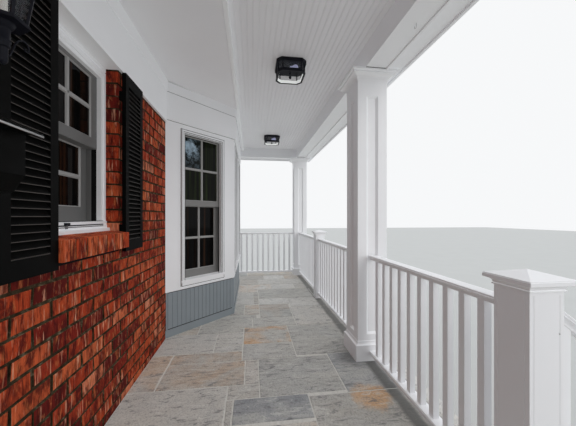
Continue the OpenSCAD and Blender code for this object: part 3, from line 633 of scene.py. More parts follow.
def add_brick_wall():
    """A wythe of bricks on each side of the wall and the mortar between them."""
    door_low, door_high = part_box("door_frame")
    sill_low, sill_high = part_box("window_brick_sill")
    holes = [(door_low.x, door_high.x, FLOOR_Z, door_high.z),
             (sill_low.x, sill_high.x, sill_low.z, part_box("wall_window_frame")[1].z),
             (BAY_OPENING[0], BAY_OPENING[1], FLOOR_Z, BAY_OPENING[2])]
    mirrored = [(-h1, -h0, low, high) for h0, h1, low, high in holes]
    for name, y, out, gaps, replaced in (("front_wythe", FACE_Y, 1, holes, ("brick_wall",)),
                                         ("back_wythe", BACK_Y, -1, mirrored, ())):
        b = Builder()
        lay_bricks(b, (0, y, 0), (out, 0, 0), (0, out, 0), (-WALL_X, WALL_X), (0.0, WALL_TOP), WALL_WYTHE, gaps)
        b.piece(name, [BRICK, MORTAR], "brick", replaces=replaced)
    b = Builder()
    wide = [(h0 - RAKE, h1 + RAKE, low - RAKE, high + RAKE) for h0, h1, low, high in holes]
    for u0, u1, z0, z1 in without((RAKE - WALL_X, WALL_X - RAKE, 0.0, WALL_TOP - RAKE), wide):
        b.box((u0, FACE_Y + RAKE, z0), (u1, BACK_Y - RAKE, z1))
    b.piece("wall_mortar", [MORTAR], "brick")


def brick_base(b, x0, x1, y0, y1, z0, z1, front_low, mortar_top):
    """Bricks on the street side and both ends of a block, with mortar behind them."""
    gap = BASE_WYTHE + JOINT
    lay_bricks(b, (0, y0, 0), (1, 0, 0), (0, 1, 0), (x0, x1), (front_low, z1), BASE_WYTHE)
    lay_bricks(b, (x0, 0, 0), (0, -1, 0), (1, 0, 0), (-y1, -y0 - gap), (z0, z1), BASE_WYTHE)
    lay_bricks(b, (x1, 0, 0), (0, 1, 0), (-1, 0, 0), (y0 + gap, y1), (z0, z1), BASE_WYTHE)
    b.box((x0 + RAKE, y0 + RAKE, z0), (x1 - RAKE, y1, mortar_top), 1)


def add_foundation():
    b = Builder()
    low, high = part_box("foundation")
    brick_base(b, low.x, high.x, low.y, high.y, 0, high.z, 0, high.z)
    b.piece("brick_foundation", [BRICK, MORTAR], "brick", replaces=("foundation",))


def add_step_base():
    b = Builder()
    low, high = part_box("step_base")
    lower_low, lower_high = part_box("lower_tread")
    step_y = lower_high.y
    brick_base(b, low.x, high.x, low.y, step_y, 0.0, lower_low.z, 0.0, lower_low.z - 0.001)
    brick_base(b, low.x, high.x, step_y, high.y, 0.0, high.z, lower_high.z, high.z - 0.001)
    b.piece("brick_step_base", [BRICK, MORTAR], "brick", replaces=("step_base",))


def add_brick_sill():
    """Bricks on edge under the wall window, with a mortar bed between them and a dark strip of painted shadow under
    them.
    """
    b = Builder()
    low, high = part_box("window_brick_sill")
    count, slope_in, slope_drop, sunk = 7, 0.055, 0.012, 0.003
    pitch = (high.x - low.x + JOINT) / count
    outline = [(low.y, low.z), (high.y, low.z), (high.y, high.z), (FACE_Y + slope_in, high.z),
               (low.y, high.z - slope_drop)]
    for i in range(count):
        x0 = low.x + i * pitch
        b.prism(outline, x0, x0 + pitch - JOINT, 0, (rng.uniform(0.56, 0.84), 0.0))
    bed = [(low.y + sunk, low.z + sunk), (high.y, low.z + sunk), (high.y, high.z - sunk),
           (FACE_Y + slope_in, high.z - sunk), (low.y + sunk, high.z - slope_drop - sunk)]
    b.prism(bed, low.x + sunk, high.x - sunk, 1)
    # A painted shadow on the wall under the sill's front edge
    b.box((low.x, FACE_Y - 0.0015, low.z - 0.026), (high.x, FACE_Y + 0.010, low.z + 0.002), 2)
    b.piece("rowlock_sill", [BRICK, MORTAR, SHADE_BLACK], "brick", replaces=("window_brick_sill",), bevel=0.0025)


# Stone floor and treads

# Width of the edging along the street side, painted pale for the sunlit strip outside the railing, and of the flags
# along each end
EDGING_W = 0.095
END_W = 0.30
# Thickness of the flags, and of the stone where its edge shows
FLAG_T = 0.020
STONE_T = 0.050
# Length of a straight bit of a flag's side, and how far it strays
SIDE_BIT = 0.11
WAVE = 0.0016


def flag(b, x0, x1, y0, y1, thick, tone, rust, top=FLOOR_Z):
    """One flagstone with slightly uneven sides and worn edges."""
    outline = []
    corners = [(x0, y0), (x1, y0), (x1, y1), (x0, y1)]
    corners = [(x + rng.uniform(-WAVE, WAVE), y + rng.uniform(-WAVE, WAVE)) for x, y in corners]
    for i in range(4):
        (ax, ay), (bx, by) = corners[i], corners[(i + 1) % 4]
        dx, dy = bx - ax, by - ay
        size = math.hypot(dx, dy)
        n = max(2, int(size / SIDE_BIT))
        for k in range(n):
            jog = 0.0 if k == 0 else rng.uniform(-WAVE, WAVE)
            outline.append((ax + dx * (k / n) + dy / size * jog, ay + dy * (k / n) - dx / size * jog))
    cx, cy = (x0 + x1) / 2, (y0 + y1) / 2
    wide, deep = (x1 - x0) / 2, (y1 - y0) / 2

    def ring(inset, z):
        return [(cx + (x - cx) * (1 - inset / wide), cy + (y - cy) * (1 - inset / deep), z) for x, y in outline]

    b.rings([ring(0, top - thick), ring(0, top - 0.0035), ring(0.0012, top - 0.001), ring(0.0045, top)],
            0, (tone, rust), first=thick > 0.03)


# Flags of the floor that the photograph shows: (x0, x1, y0, y1, tone, rust), where x runs along the porch and
# y is measured towards the street from the line under the eye point
SEEN_FLAGS = [
    (-0.742, -0.506, -0.120, 0.398, 0.16, 0.0), (-0.901, -0.533, 0.398, 1.190, 0.50, 0.05),
    (-0.506, 0.003, 0.060, 0.684, 0.48, 0.0), (-0.533, 0.029, 0.684, 1.190, 0.22, 0.0),
    (0.003, 0.303, -0.080, 0.405, 0.62, 0.0), (0.303, 0.715, -0.080, 0.405, 0.60, 1.1),
    (0.029, 0.704, 0.405, 1.190, 0.56, 0.0), (0.715, 0.990, 0.020, 0.525, 0.62, 0.0),
    (0.704, 1.355, 0.525, 1.190, 0.80, 0.05), (0.990, 1.491, 0.110, 0.525, 0.48, 0.2),
    (1.355, 1.786, 0.552, 1.190, 0.85, 0.0), (1.491, 1.786, 0.110, 0.552, 0.90, 0.0),
    (1.786, 2.303, 0.112, 0.992, 0.56, 0.0), (1.786, 2.303, 0.992, 1.190, 0.90, 0.0),
]


def cuts(start, end, spare, sizes):
    """Joints from start to end at random distances, where the last stone is longer than what is to spare."""
    places = [start]
    while places[-1] < end - spare:
        places.append(places[-1] + rng.choice(sizes))
    return places + [end]


def stretches(start, end, spare, sizes):
    """Stretches of random length up to the end, drawn one by one; the last takes in what would be too short."""
    while start < end - 0.01:
        cut = min(end, start + rng.choice(sizes))
        cut = end if end - cut < spare else cut
        yield start, cut
        start = cut


def add_stone_floor():
    """The flags that the photograph shows, others round them, and edgings along the ends and the street side."""
    b = Builder()
    half = JOINT / 2
    inner_x = FLOOR_X - END_W
    taken = []
    for x0, x1, s0, s1, tone, rust in SEEN_FLAGS:
        y0, y1 = EYE.y - s1, EYE.y - s0
        taken.append((x0, x1, y0, y1))
        flag(b, x0 + half, x1 - half, y0 + half, y1 - half, FLAG_T, tone, rust)
    columns = cuts(-inner_x, inner_x, 0.65, (0.42, 0.52, 0.61, 0.71))
    for x0, x1 in zip(columns, columns[1:]):
        rows = cuts(EDGE_Y + EDGING_W, FACE_Y, 0.75, (0.30, 0.42, 0.52, 0.64))
        for y0, y1 in zip(rows, rows[1:]):
            # Flags beyond x = 2 are paler: painted light for the brighter far end of the porch
            tone, rust = rng.uniform(0.5, 0.85) + (0.15 if x0 > 2 else 0.0), rng.choice((0.0, 0.0, 0.1, 0.4))
            for u0, u1, v0, v1 in without((x0, x1, y0, y1), taken):
                if u1 - u0 > 0.05 and v1 - v0 > 0.05:
                    flag(b, u0 + half, u1 - half, v0 + half, v1 - half, FLAG_T, tone, rust)
    for side in (-1, 1):
        x0, x1 = both_ways(side, FLOOR_X, inner_x)
        for y, end in stretches(EDGE_Y, FACE_Y, 0.3, (0.61, 0.76, 0.91)):
            flag(b, x0 + (half if side > 0 else 0), x1 - (half if side < 0 else 0),
                 y + (half if y > EDGE_Y else 0), end - half, STONE_T, rng.uniform(0.3, 0.6), rng.choice((0.0, 0.3)))
    # The edging along the street side at the palest tone: painted light for the sunlit strip
    for x, end in stretches(-inner_x, inner_x, 0.4, (0.91, 1.07, 1.22)):
        flag(b, x + half, end - half, EDGE_Y, EDGE_Y + EDGING_W - half, STONE_T, 1.0, 0.05)
    b.box((0.012 - FLOOR_X, EDGE_Y + 0.012, FLOOR_Z - STONE_T), (FLOOR_X - 0.012, FACE_Y, FLOOR_Z - 0.0035), 1)
    b.piece("flagstone_floor", [FLAG, GROUT], "bluestone", replaces=("stone_floor",))


def add_tread(node, splits):
    """A tread of a few stones, split at these shares of its length."""
    b = Builder()
    low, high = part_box(node)
    ends = [low.x] + [low.x + (high.x - low.x) * s for s in splits] + [high.x]
    for i, (x0, x1) in enumerate(zip(ends, ends[1:])):
        left = 0.0 if i == 0 else 0.003
        right = 0.0 if i == len(splits) else 0.003
        flag(b, x0 + left, x1 - right, low.y, high.y, high.z - low.z, rng.uniform(0.32, 0.5), rng.choice((0, 0.2)),
             high.z)
    b.box((low.x + 0.01, low.y + 0.01, low.z), (high.x - 0.01, high.y, high.z - 0.004), 1)
    b.piece("stone_" + node, [FLAG, GROUT], "bluestone", replaces=(node,))


# Bead board

BOARD_PITCH = 0.0452
# Where the boards' ends meet along the porch
BOARD_ENDS = (-1.7, 0.74, 3.0)
# Depth of the groove beside the beam and of the others, and radius of the beads
BEAM_GROOVE, BOARD_GROOVE, BEAD_R = 0.0045, 0.0032, 0.0035


def add_bead_board():
    """Boards with a groove and a round bead at each edge; the groove beside the beam is deeper."""
    b = Builder()
    low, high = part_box("bead_board_ceiling")
    z, y, groove = low.z, high.y, BEAM_GROOVE
    outline = []
    while y - BOARD_PITCH > low.y:
        outline += [(y, z), (y - 0.0005, z + groove)]
        for t in range(1, 6):
            a = math.pi * t / 6
            outline.append((y - 0.001 - BEAD_R * (1 - math.cos(a)), z + groove * (1 - math.sin(a))))
        outline += [(y - 0.0085, z + groove), (y - 0.0095, z)]
        y -= BOARD_PITCH
        groove = BOARD_GROOVE
    outline += [(low.y, z), (low.y, z + 0.012), (high.y, z + 0.012)]
    ends = [low.x, *BOARD_ENDS, high.x]
    for x0, x1 in zip(ends, ends[1:]):
        b.prism(list(reversed(outline)), x0, x1 - 0.0006)
    b.box((low.x, low.y, z + 0.010), (high.x, high.y, high.z))
    b.piece("bead_boards", [CEILING], "ceiling_paint", replaces=("bead_board_ceiling",))


# Windows: each stands in a frame of its own, with x from its middle, y inwards and z from its sill

STILE = 0.058
SASH_T = 0.044
# Street side of the upper and of the lower sash
UPPER_Y = 0.030
LOWER_Y = 0.090
MEETING = 0.062
MEETING_RISE = 0.028
BOTTOM_RAIL = 0.086
TOP_RAIL = 0.046
MUNTIN = 0.027
GLASS_IN = 0.009

# The wall window's middle and reveal
WINDOW_X = -0.779
REVEAL = 0.077

# The bay: the middle of its front face, and what its windows measure
front_low, front_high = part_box("bay_front_sashes")
BAY_X, BAY_Y = (front_low.x + front_high.x) / 2, front_low.y - UPPER_Y
BAY_SILL, BAY_WINDOW_H = front_low.z, front_high.z - front_low.z
SIDE_WINDOW_W = 0.554
FRONT_WINDOW_W = 0.670
MULLION_W = 0.062
# From the middle of the front face to the middle of a slanted one
SIDE_FACE_X = 1.128


def window_place(x, y, z, turn=0):
    return Matrix.Translation((x, y, z)) @ Matrix.Rotation(math.radians(turn), 4, "Z")


def bay_place(side, z, front_y=BAY_Y):
    """The middle of a face of the bay: the near face is -1, the front 0 and the far face 1."""
    return window_place(BAY_X + side * SIDE_FACE_X, (front_y + FACE_Y) / 2 if side else front_y, z, 45 * side)


def one_sash(b, at, width, y, z, low_rail, high_rail):
    """Stiles and rails with a sloped rebate towards the glass, and a cross of muntins."""
    left, right = STILE - width / 2, width / 2 - STILE
    low, high = z[0] + low_rail, z[1] - high_rail
    slope = 0.006

    def around(x0, x1, z0, z1, yy):
        return [at @ Vector(p) for p in ((x0, yy, z0), (x1, yy, z0), (x1, yy, z1), (x0, yy, z1))]

    def outer(yy):
        return around(-width / 2, width / 2, *z, yy)

    def ring(yy, inset=0.0):
        return around(left + inset, right - inset, low + inset, high - inset, yy)

    back, glass_y = y + SASH_T, y + GLASS_IN
    b.hoop([outer(y), ring(y), ring(back), outer(back)])
    b.hoop([ring(y + 0.001), ring(glass_y, slope), ring(glass_y + 0.012, slope), ring(back - 0.001)], 1)
    half, narrow, middle = MUNTIN / 2, 0.0075, (low + high) / 2
    bar = [(-half, glass_y + 0.012), (-narrow, back - 0.006), (narrow, back - 0.006), (half, glass_y + 0.012),
           (half, glass_y + 0.001), (narrow, y + 0.002), (-narrow, y + 0.002), (-half, glass_y + 0.001)]
    b.rings([[at @ Vector((x, yy, zz)) for x, yy in bar] for zz in (low, high)], 1)
    b.rings([[at @ Vector((xx, yy, middle - x)) for x, yy in bar] for xx in (left, right)], 1)
    return left, right, low, high, glass_y


def window(name, at, width, height, nodes=(), top_rail=TOP_RAIL, panes=(PANE, PANE), sky=False, track=2, paint=SASH):
    """A pair of sashes, two panes wide and two high in each, with the tracks they run in: the upper sash's track in
    painted shade and the lower one in the material that track picks. With sky, one upper pane carries a painted
    reflection of sky.
    """
    meeting_low = height / 2 + MEETING_RISE - MEETING / 2
    meeting_high = meeting_low + MEETING
    b, glass = Builder(), Builder()
    for row, (y, z, low_rail, high_rail) in enumerate((
            (UPPER_Y, (meeting_low, height), MEETING, top_rail),
            (LOWER_Y, (0.0, meeting_high), BOTTOM_RAIL, MEETING))):
        left, right, low, high, glass_y = one_sash(b, at, width, y, z, low_rail, high_rail)
        middle = (low + high) / 2
        for x0, x1 in ((left, 0.0), (0.0, right)):
            for z0, z1 in ((low, middle), (middle, high)):
                kind = 2 if sky and row == 0 and x0 == left and z1 == high else row
                glass.box((x0, glass_y + 0.003, z0), (x1, glass_y + 0.007, z1), kind, at)
    b.box((-width / 2, UPPER_Y + SASH_T - 0.001, meeting_low), (width / 2, LOWER_Y + 0.001, meeting_high), at=at)
    # Side tracks: the upper sash's in painted shade, the lower in the material that track picks
    for side in (-1, 1):
        for y0, y1, kind in ((UPPER_Y + 0.002, 0.062, 2), (0.062, LOWER_Y - 0.001, track)):
            x0, x1 = both_ways(side, width / 2 - (0.002 if kind == 2 else 0.005), width / 2)
            b.box((x0, y0, 0.0), (x1, y1, meeting_low), kind, at)
    b.piece(name + "_sashes", [paint, BEAD, SHADE_BLACK], "sash_paint", replaces=nodes[:1], bevel=0.0008)
    glass.piece(name + "_panes", [*panes, SKY_PANE], "window_glass", replaces=nodes[1:])


def add_wall_window():
    low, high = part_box("wall_window_sashes")
    window("wall_window", window_place(WINDOW_X, FACE_Y + REVEAL, low.z), high.x - low.x, high.z - low.z,
           ("wall_window_sashes", "wall_window_glass"), top_rail=0.022, track=0, paint=WALL_SASH)


def add_bay_windows():
    step = (FRONT_WINDOW_W + 0.060) / 2
    window("bay_front_left", window_place(BAY_X - step, BAY_Y, BAY_SILL), FRONT_WINDOW_W, BAY_WINDOW_H,
           ("bay_front_sashes", "bay_front_glass"))
    window("bay_front_right", window_place(BAY_X + step, BAY_Y, BAY_SILL), FRONT_WINDOW_W, BAY_WINDOW_H)
    post = Builder()
    post.box((BAY_X - MULLION_W / 2, BAY_Y + UPPER_Y, BAY_SILL),
             (BAY_X + MULLION_W / 2, BAY_Y + LOWER_Y + SASH_T, BAY_SILL + BAY_WINDOW_H))
    post.piece("bay_mullion_post", [SASH], "sash_paint", bevel=0.002)
    window("bay_near", bay_place(-1, BAY_SILL), SIDE_WINDOW_W, BAY_WINDOW_H,
           ("bay_near_sashes", "bay_near_glass"), panes=(GREEN_PANE, PANE), sky=True)
    window("bay_far", bay_place(1, BAY_SILL), SIDE_WINDOW_W, BAY_WINDOW_H, ("bay_far_sashes", "bay_far_glass"))


def add_sill_details():
    """The latch on the wall window's sill, and dark lines of painted shade between and along the sill's boards."""
    low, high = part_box("wall_window_sashes")
    at = window_place(WINDOW_X, FACE_Y + REVEAL, low.z)
    latch = Builder()
    latch.box((-0.096, -0.018, -0.020), (-0.064, -0.004, -0.006), at=at)
    latch.box((-0.092, -0.010, -0.038), (-0.070, -0.004, -0.020), 1, at)
    latch.piece("sill_latch", [IRON, FLASHING], "black_metal", bevel=0.002)
    shade_strips = Builder()
    half = (high.x - low.x) / 2
    for low_z, high_z in ((-0.0245, -0.0185), (-0.0325, -0.0285), (-0.001, 0.0025)):
        shade_strips.box((-half, -0.0088, low_z), (half, 0.0, high_z), at=at)
    shade_strips.piece("sill_painted_shade", [LINE_OF_SHADE], "white_paint")


# Fixtures

def tube(b, path, radius, steps=8):
    """A round bar along a path of points."""
    path = [Vector(p) for p in path]
    rings = []
    for i, p in enumerate(path):
        along = (path[min(i + 1, len(path) - 1)] - path[max(i - 1, 0)]).normalized()
        side = along.cross(Vector((0.31, 0.52, 0.79))).normalized()
        up = along.cross(side)
        rings.append([p + radius * (math.cos(2 * math.pi * k / steps) * side + math.sin(2 * math.pi * k / steps) * up)
                      for k in range(steps)])
    b.rings(rings)


def octagonal(b, at, outside, inside, top, bottom, kind=0):
    """A hoop whose rings are squares with their corners cut off."""
    rings = []
    for (half, cut), z in ((outside, top), (outside, bottom), (inside, bottom), (inside, top)):
        flat = half - cut
        rings.append([at @ Vector((x, y, z)) for x, y in (
            (half, -flat), (half, flat), (flat, half), (-flat, half),
            (-half, flat), (-half, -flat), (-flat, -half), (flat, -half))])
    b.hoop(rings, kind)


# A ceiling light's glass and trim: half width and cut corner outside and inside, top and bottom under the ceiling
LIGHT_GLASS = ((0.120, 0.038), (0.118, 0.038), -0.033, -0.112)
LIGHT_ENAMEL = ((0.1160, 0.037), (0.1135, 0.037), -0.090, -0.118)
LIGHT_BAND = ((0.1235, 0.038), (0.1162, 0.037), -0.088, -0.112)
# Profiles of its knob and bulb, as radius and height
LIGHT_KNOB = [(0.0, -0.132), (0.008, -0.130), (0.013, -0.122), (0.013, -0.114), (0.007, -0.105), (0.004, -0.101),
              (0.004, -0.080), (0.0, -0.080)]
LIGHT_BULB = [(0.0, 0.0), (0.013, 0.001), (0.013, 0.018), (0.016, 0.024), (0.026, 0.040), (0.029, 0.052),
              (0.026, 0.065), (0.016, 0.075), (0.0, 0.079)]


def add_ceiling_light(node):
    """Glass, white enamel trim and a frosted bulb for a light whose black cage is the CAD node; the enamel and the bulb
    glow with painted light.
    """
    low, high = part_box(node)
    at = Matrix.Translation(((low.x + high.x) / 2, (low.y + high.y) / 2, high.z))
    glass = Builder()
    octagonal(glass, at, *LIGHT_GLASS)
    glass.piece(node + "_glass", [CLEAR], "window_glass")
    trim = Builder()
    octagonal(trim, at, *LIGHT_ENAMEL)
    octagonal(trim, at, *LIGHT_BAND, 1)
    trim.turned(LIGHT_KNOB, at, 16, 1)
    trim.piece(node + "_trim", [ENAMEL, IRON], "black_metal")
    bulb = Builder()
    bulb.turned(LIGHT_BULB, at @ Matrix.Translation((-0.062, 0.01, -0.056)) @ Matrix.Rotation(math.pi / 2, 4, "X"))
    bulb.piece(node + "_bulb", [BULB], "window_glass", smooth=True)


# The middle of the lantern's base, the rings of its glass, its candle and flame, and the path of its scrolls
LANTERN = Vector((-1.499, 1.079, FLOOR_Z + 1.820))
LANTERN_GLASS = ((0.047, 0.010), (0.081, 0.236), (0.079, 0.236), (0.045, 0.010))
CANDLE_PROFILE = [(0.0, 0.0), (0.017, 0.0), (0.017, 0.006), (0.011, 0.008), (0.011, 0.085), (0.0, 0.086)]
FLAME_PROFILE = [(0.0, 0.086), (0.006, 0.088), (0.012, 0.105), (0.011, 0.120), (0.004, 0.140), (0.0, 0.147)]
SCROLL = [(0.016, -0.092), (0.026, -0.078), (0.034, -0.058), (0.043, -0.036), (0.056, -0.018), (0.072, -0.008),
          (0.088, -0.010), (0.096, -0.022), (0.092, -0.034), (0.080, -0.036), (0.076, -0.028)]


def add_lantern():
    """Six panes, a candle with its bulb and two scrolls, for a lantern whose black frame is the CAD node; the bulb
    glows with painted light.
    """
    glass = Builder()
    glass.hoop([[LANTERN + Vector((radius * math.cos(math.pi * k / 3), radius * math.sin(math.pi * k / 3), z))
                 for k in range(6)] for radius, z in LANTERN_GLASS])
    glass.piece("lantern_glass", [CLEAR], "window_glass")
    at = Matrix.Translation(LANTERN + Vector((0, 0, 0.009)))
    candle = Builder()
    candle.turned(CANDLE_PROFILE, at, 16)
    candle.piece("lantern_candle", [CANDLE], "black_metal")
    flame = Builder()
    flame.turned(FLAME_PROFILE, at, 16)
    flame.piece("lantern_bulb", [BULB], "window_glass", smooth=True)
    scroll = Builder()
    for turn in (0, 180):
        spin = Matrix.Rotation(math.radians(turn), 3, "Z")
        tube(scroll, [LANTERN + spin @ Vector((x, 0, z)) for x, z in SCROLL], 0.0028)
    scroll.piece("lantern_scrolls", [IRON], "black_metal", smooth=True)


def add_mailbox_lip():
    """The bright edge of the mailbox's lid: a rod of bare metal that stands for the highlight along it, a painted
    highlight.
    """
    low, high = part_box("mailbox")
    lip = Builder()
    y, z = low.y + 0.002, FLOOR_Z + 1.514
    tube(lip, [(x, y, z) for x in (low.x + 0.002, low.x + 0.1, high.x - 0.1, high.x - 0.002)], 0.004, 10)
    lip.piece("mailbox_lip_highlight", [BARE_METAL_AND_HIGHLIGHT], "black_metal", smooth=True)


def add_small_metal():
    """A hook under the front beam and a nail in the stair newel."""
    b = Builder()
    top = Vector((-0.740, -0.721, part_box("front_beam")[0].z))
    hook = [(0, 0, 0.002), (0, 0, -0.014)]
    for k in range(1, 10):
        a = math.radians(24 * k)
        hook.append((0.011 * (1 - math.cos(a)), 0, -0.014 - 0.012 * math.sin(a)))
    tube(b, [top + Vector(p) for p in hook], 0.0022)
    nail = Matrix.Translation((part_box("stair_newel")[0].x + 0.028, -0.749, FLOOR_Z + 0.827))
    nail = nail @ Matrix.Rotation(-math.pi / 2, 4, "Y")
    b.turned([(0.0, 0.0), (0.0035, 0.0), (0.003, 0.002), (0.0, 0.0026)], nail, 10)
    b.piece("hook_and_nail", [BARE_METAL_AND_HIGHLIGHT], "black_metal", smooth=True)


# Thin trim

def add_soffit_trim():
    """A moulding between the beam and the eave soffit, and a dark strip of painted shade at the gap between each
    capital and the beam.
    """
    soffit_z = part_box("eave_soffit")[0].z
    beam_low, beam_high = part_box("front_beam")
    b = Builder()
    low_z, wide = beam_low.z - 0.012, 0.022
    reach = beam_high.x + wide
    b.box((-reach, beam_low.y - wide, low_z), (reach, beam_low.y, soffit_z))
    for side in (-1, 1):
        x0, x1 = both_ways(side, beam_high.x, reach)
        b.box((x0, beam_low.y, low_z), (x1, FACE_Y, soffit_z))
    b.piece("soffit_moulding", [WHITE], "white_paint", bevel=0.003)
    # Dark strips of painted shade at the top of each capital
    gap = Builder()
    for node in ("near_column", "middle_column", "far_column"):
        low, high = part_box(node)
        y = (low.y + high.y) / 2
        gap.box((low.x - 0.0005, y - 0.088, high.z - 0.005), (high.x + 0.0005, y + 0.088, high.z - 0.0005))
    gap.piece("capital_gap_shade", [SHADE_BLACK], "white_paint")


# Dark lines of painted shade round a bay's casing: outer edge beyond the half window, width, depth from the wall's
# face, lower end
CASING_SHADE = ((0.015, 0.005, -0.0015, -0.062), (0.010, 0.0045, -0.0150, -0.062), (-0.013, 0.005, -0.0095, 0.0),
                (-0.029, 0.004, -0.0095, 0.0), (-0.033, 0.008, 0.0285, 0.0))
SHADE_T = 0.0018
# Heights above the floor of the bay's frieze board and crown, and how far the board stands out
FRIEZE_Z, CROWN_Z, BOARD_T = 2.256, 2.540, 0.020


def add_painted_shade_lines():
    """Dark lines of painted shade round the bay's casings and sashes and under its boards."""
    b = Builder()
    for side, half, wall in ((-1, 0.277, 0.463), (0, 0.700, 0.798), (1, 0.277, 0.463)):
        at = bay_place(side, BAY_SILL)
        for beyond, wide, y, bottom in CASING_SHADE:
            reach = half + beyond
            top = BAY_WINDOW_H - half + reach
            for end in (-1, 1):
                x0, x1 = both_ways(end, reach, reach - wide)
                b.box((x0, y, bottom), (x1, y + SHADE_T, top), at=at)
            b.box((-reach, y, top - wide), (reach, y + SHADE_T, top), at=at)
            if bottom < 0:
                b.box((-reach, y, bottom), (reach, y + SHADE_T, bottom + wide), at=at)
        frieze, crown = FLOOR_Z + FRIEZE_Z - BAY_SILL, FLOOR_Z + CROWN_Z - BAY_SILL
        b.box((-wall, -0.0015, frieze - 0.003), (wall, 0.0005, frieze + 0.001), at=at)
        b.box((-wall - 0.004, -BOARD_T - 0.0015, crown - 0.003), (wall + 0.004, -BOARD_T + 0.0005, crown), at=at)
    b.piece("bay_painted_shade", [LINE_OF_SHADE], "white_paint")


def add_shutter_details():
    """A board behind each shutter's blades, and the blades' front edges in a paler black, painted as highlights."""
    b = Builder()
    blades, rail = 34, 0.075
    for node in ("near_shutter", "far_shutter"):
        low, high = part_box(node)
        pitch = (high.z - low.z - 2 * rail) / blades
        for i in range(blades):
            z = low.z + rail + (i + 0.5) * pitch
            # The blades' front edges, painted paler as highlights
            b.box((low.x + 0.048, FACE_Y - 0.0464, z - 0.0135), (high.x - 0.048, FACE_Y - 0.0455, z - 0.0105), 1)
        b.box((low.x + 0.040, FACE_Y - 0.0218, low.z + 0.06), (high.x - 0.040, FACE_Y - 0.018, high.z - 0.06))
    b.piece("shutter_details", [LOUVRE, BLADE_HIGHLIGHT_BLACK], "shutter_black")


def add_skirt_boards():
    """Narrow upright boards with a round-nosed edge on the three faces of the bay's skirt, and dark lines of painted
    shade at their ends.
    """
    low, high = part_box("bay_skirt")
    b = Builder()
    pitch, foot, face, back = 0.052, low.z + 0.078, 0.0062, 0.011
    for side in (-1, 0, 1):
        at = bay_place(side, 0, low.y)
        half = 0.432 if side else 0.770
        outline = []
        x = -half
        while x < half - 0.01:
            end = min(half, x + pitch)
            outline += [(x, back), (x + 0.001, 0.0075), (x + 0.003, face), (end - 0.004, face), (end - 0.002, 0.008)]
            x = end
        outline += [(half, back), (half, 0.0125), (-half, 0.0125)]
        b.rings([[at @ Vector((p, y, z)) for p, y in outline] for z in (foot, high.z - 0.001)])
        # Dark lines of painted shade at the boards' foot and top
        for z in (foot, high.z - 0.008):
            b.box((-half, 0.0045, z), (half, 0.0064, z + 0.0075), 1, at)
    b.piece("skirt_boards", [SKIRT, LINE_OF_SHADE], "skirt_paint")


ROOF_SLOPE = 0.25
# Height of a course of shingles that shows, width of a tab and its thickness
EXPOSURE = 0.140
TAB_W = 0.305
TAB_T = 0.005
# Length of a cap along a hip, and how far it reaches down the slopes beside it
CAP_PITCH = 0.17
CAP_W = 0.11


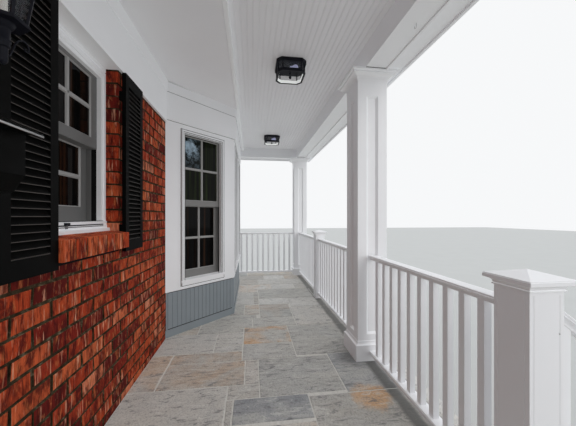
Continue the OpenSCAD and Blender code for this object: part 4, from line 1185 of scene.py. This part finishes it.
def add_shingles():
    """Tabs in half-bond courses on the three slopes, caps along the hips and a flashing at the wall."""
    low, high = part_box("roof")
    run = high.y - low.y
    ends = {-1: low.x, 1: high.x}
    b = Builder()

    def height(d, lift):
        return high.z - ROOF_SLOPE * (run - d) + lift

    def on_slope(face, across, d, lift):
        """A point at distance d from the eave of the near (-1), front (0) or far (1) slope, lifted above it."""
        x, y = (ends[face] - face * d, across) if face else (across, low.y + d)
        return Vector((x, y, height(d, lift)))

    for face in (0, -1, 1):
        for row in range(int(run / EXPOSURE) + 1):
            d0, d1 = row * EXPOSURE, min(run, (row + 1) * EXPOSURE + 0.02)
            if d0 > run - 0.02:
                continue
            start, end, cut = (low.y, high.y, 0) if face else (low.x, high.x, 1)
            limits = [(start + d, end - cut * d) for d in (d0, d1)]
            t = start - (0.0 if row % 2 else TAB_W / 2)
            while t < end:
                a = [max(t + 0.002, lo) for lo, hi in limits]
                c = [min(t + TAB_W - 0.002, hi) for lo, hi in limits]
                if c[0] - a[0] > 0.01 and c[1] >= a[1] - 0.001:
                    corners = [on_slope(face, across, d, lift) for across, d, lift in (
                        (a[0], d0, 0.004), (c[0], d0, 0.004), (max(c[1], a[1]), d1, 0.0), (a[1], d1, 0.0))]
                    if face < 0:
                        corners.reverse()
                    b.rings([corners, [p + Vector((0, 0, TAB_T)) for p in corners]], 0, (rng.uniform(0.3, 0.7), 0.0))
                t += TAB_W
    for side, corner in ends.items():
        n = int(run / CAP_PITCH)
        for k in range(n):
            d0, d1 = k * run / n, min(run, (k + 1) * run / n + 0.03)
            points = []
            for d, lift in ((d0, 0.014), (d1, 0.008)):
                x, y, z = corner - side * d, low.y + d, height(d, lift)
                points.append([Vector((x, y - CAP_W, z - ROOF_SLOPE * CAP_W)), Vector((x, y, z + 0.004)),
                               Vector((x + side * CAP_W, y, z - ROOF_SLOPE * CAP_W))])
            lower = points[0] + points[1][::-1]
            if d0 > 0.1:
                b.rings([lower, [p + Vector((0, 0, TAB_T)) for p in lower]], 0, (rng.uniform(0.2, 0.8), 0.0))
    b.piece("roof_shingles", [SHINGLE], "roof_shingle")
    flashing = Builder()
    half = high.x - run
    flashing.box((-half, FACE_Y - 0.004, high.z - 0.004), (half, FACE_Y - 0.0005, high.z + 0.07))
    flashing.box((-half, FACE_Y - 0.09, high.z - 0.010), (half, FACE_Y - 0.001, high.z + 0.012))
    flashing.piece("roof_flashing", [FLASHING], "roof_shingle")


# What stays from the CAD model

BEVELS = {"white_paint": 0.0022, "sash_paint": 0.0015, "skirt_paint": 0.0015, "shutter_black": 0.0012,
          "black_metal": 0.001}


def dress_nodes():
    """Gives every CAD node its finish, and rounds the edges of painted wood and metal."""
    for row in frame["record"]["subparts"]:
        node = frame["nodes"][row["node"]]
        node.data.materials.clear()
        node.data.materials.append(OWN_FINISH.get(row["node"], OF_SLOT[row["material_slot"]]))
        if row["material_slot"] in BEVELS:
            joined = node.modifiers.new("weld", "WELD")
            joined.merge_threshold = 0.00005
            soften(node, BEVELS[row["material_slot"]])


add_camera()
add_light()
add_floor()
dress_nodes()
add_brick_wall()
add_foundation()
add_step_base()
add_brick_sill()
add_stone_floor()
add_tread("lower_tread", (0.36, 0.71))
add_tread("upper_tread", (0.28, 0.64))
add_bead_board()
add_wall_window()
add_bay_windows()
add_sill_details()
add_ceiling_light("near_ceiling_light")
add_ceiling_light("far_ceiling_light")
add_lantern()
add_mailbox_lip()
add_small_metal()
add_soffit_trim()
add_painted_shade_lines()
add_shutter_details()
add_skirt_boards()
add_shingles()
bpy.context.scene.view_settings.view_transform = "Standard"
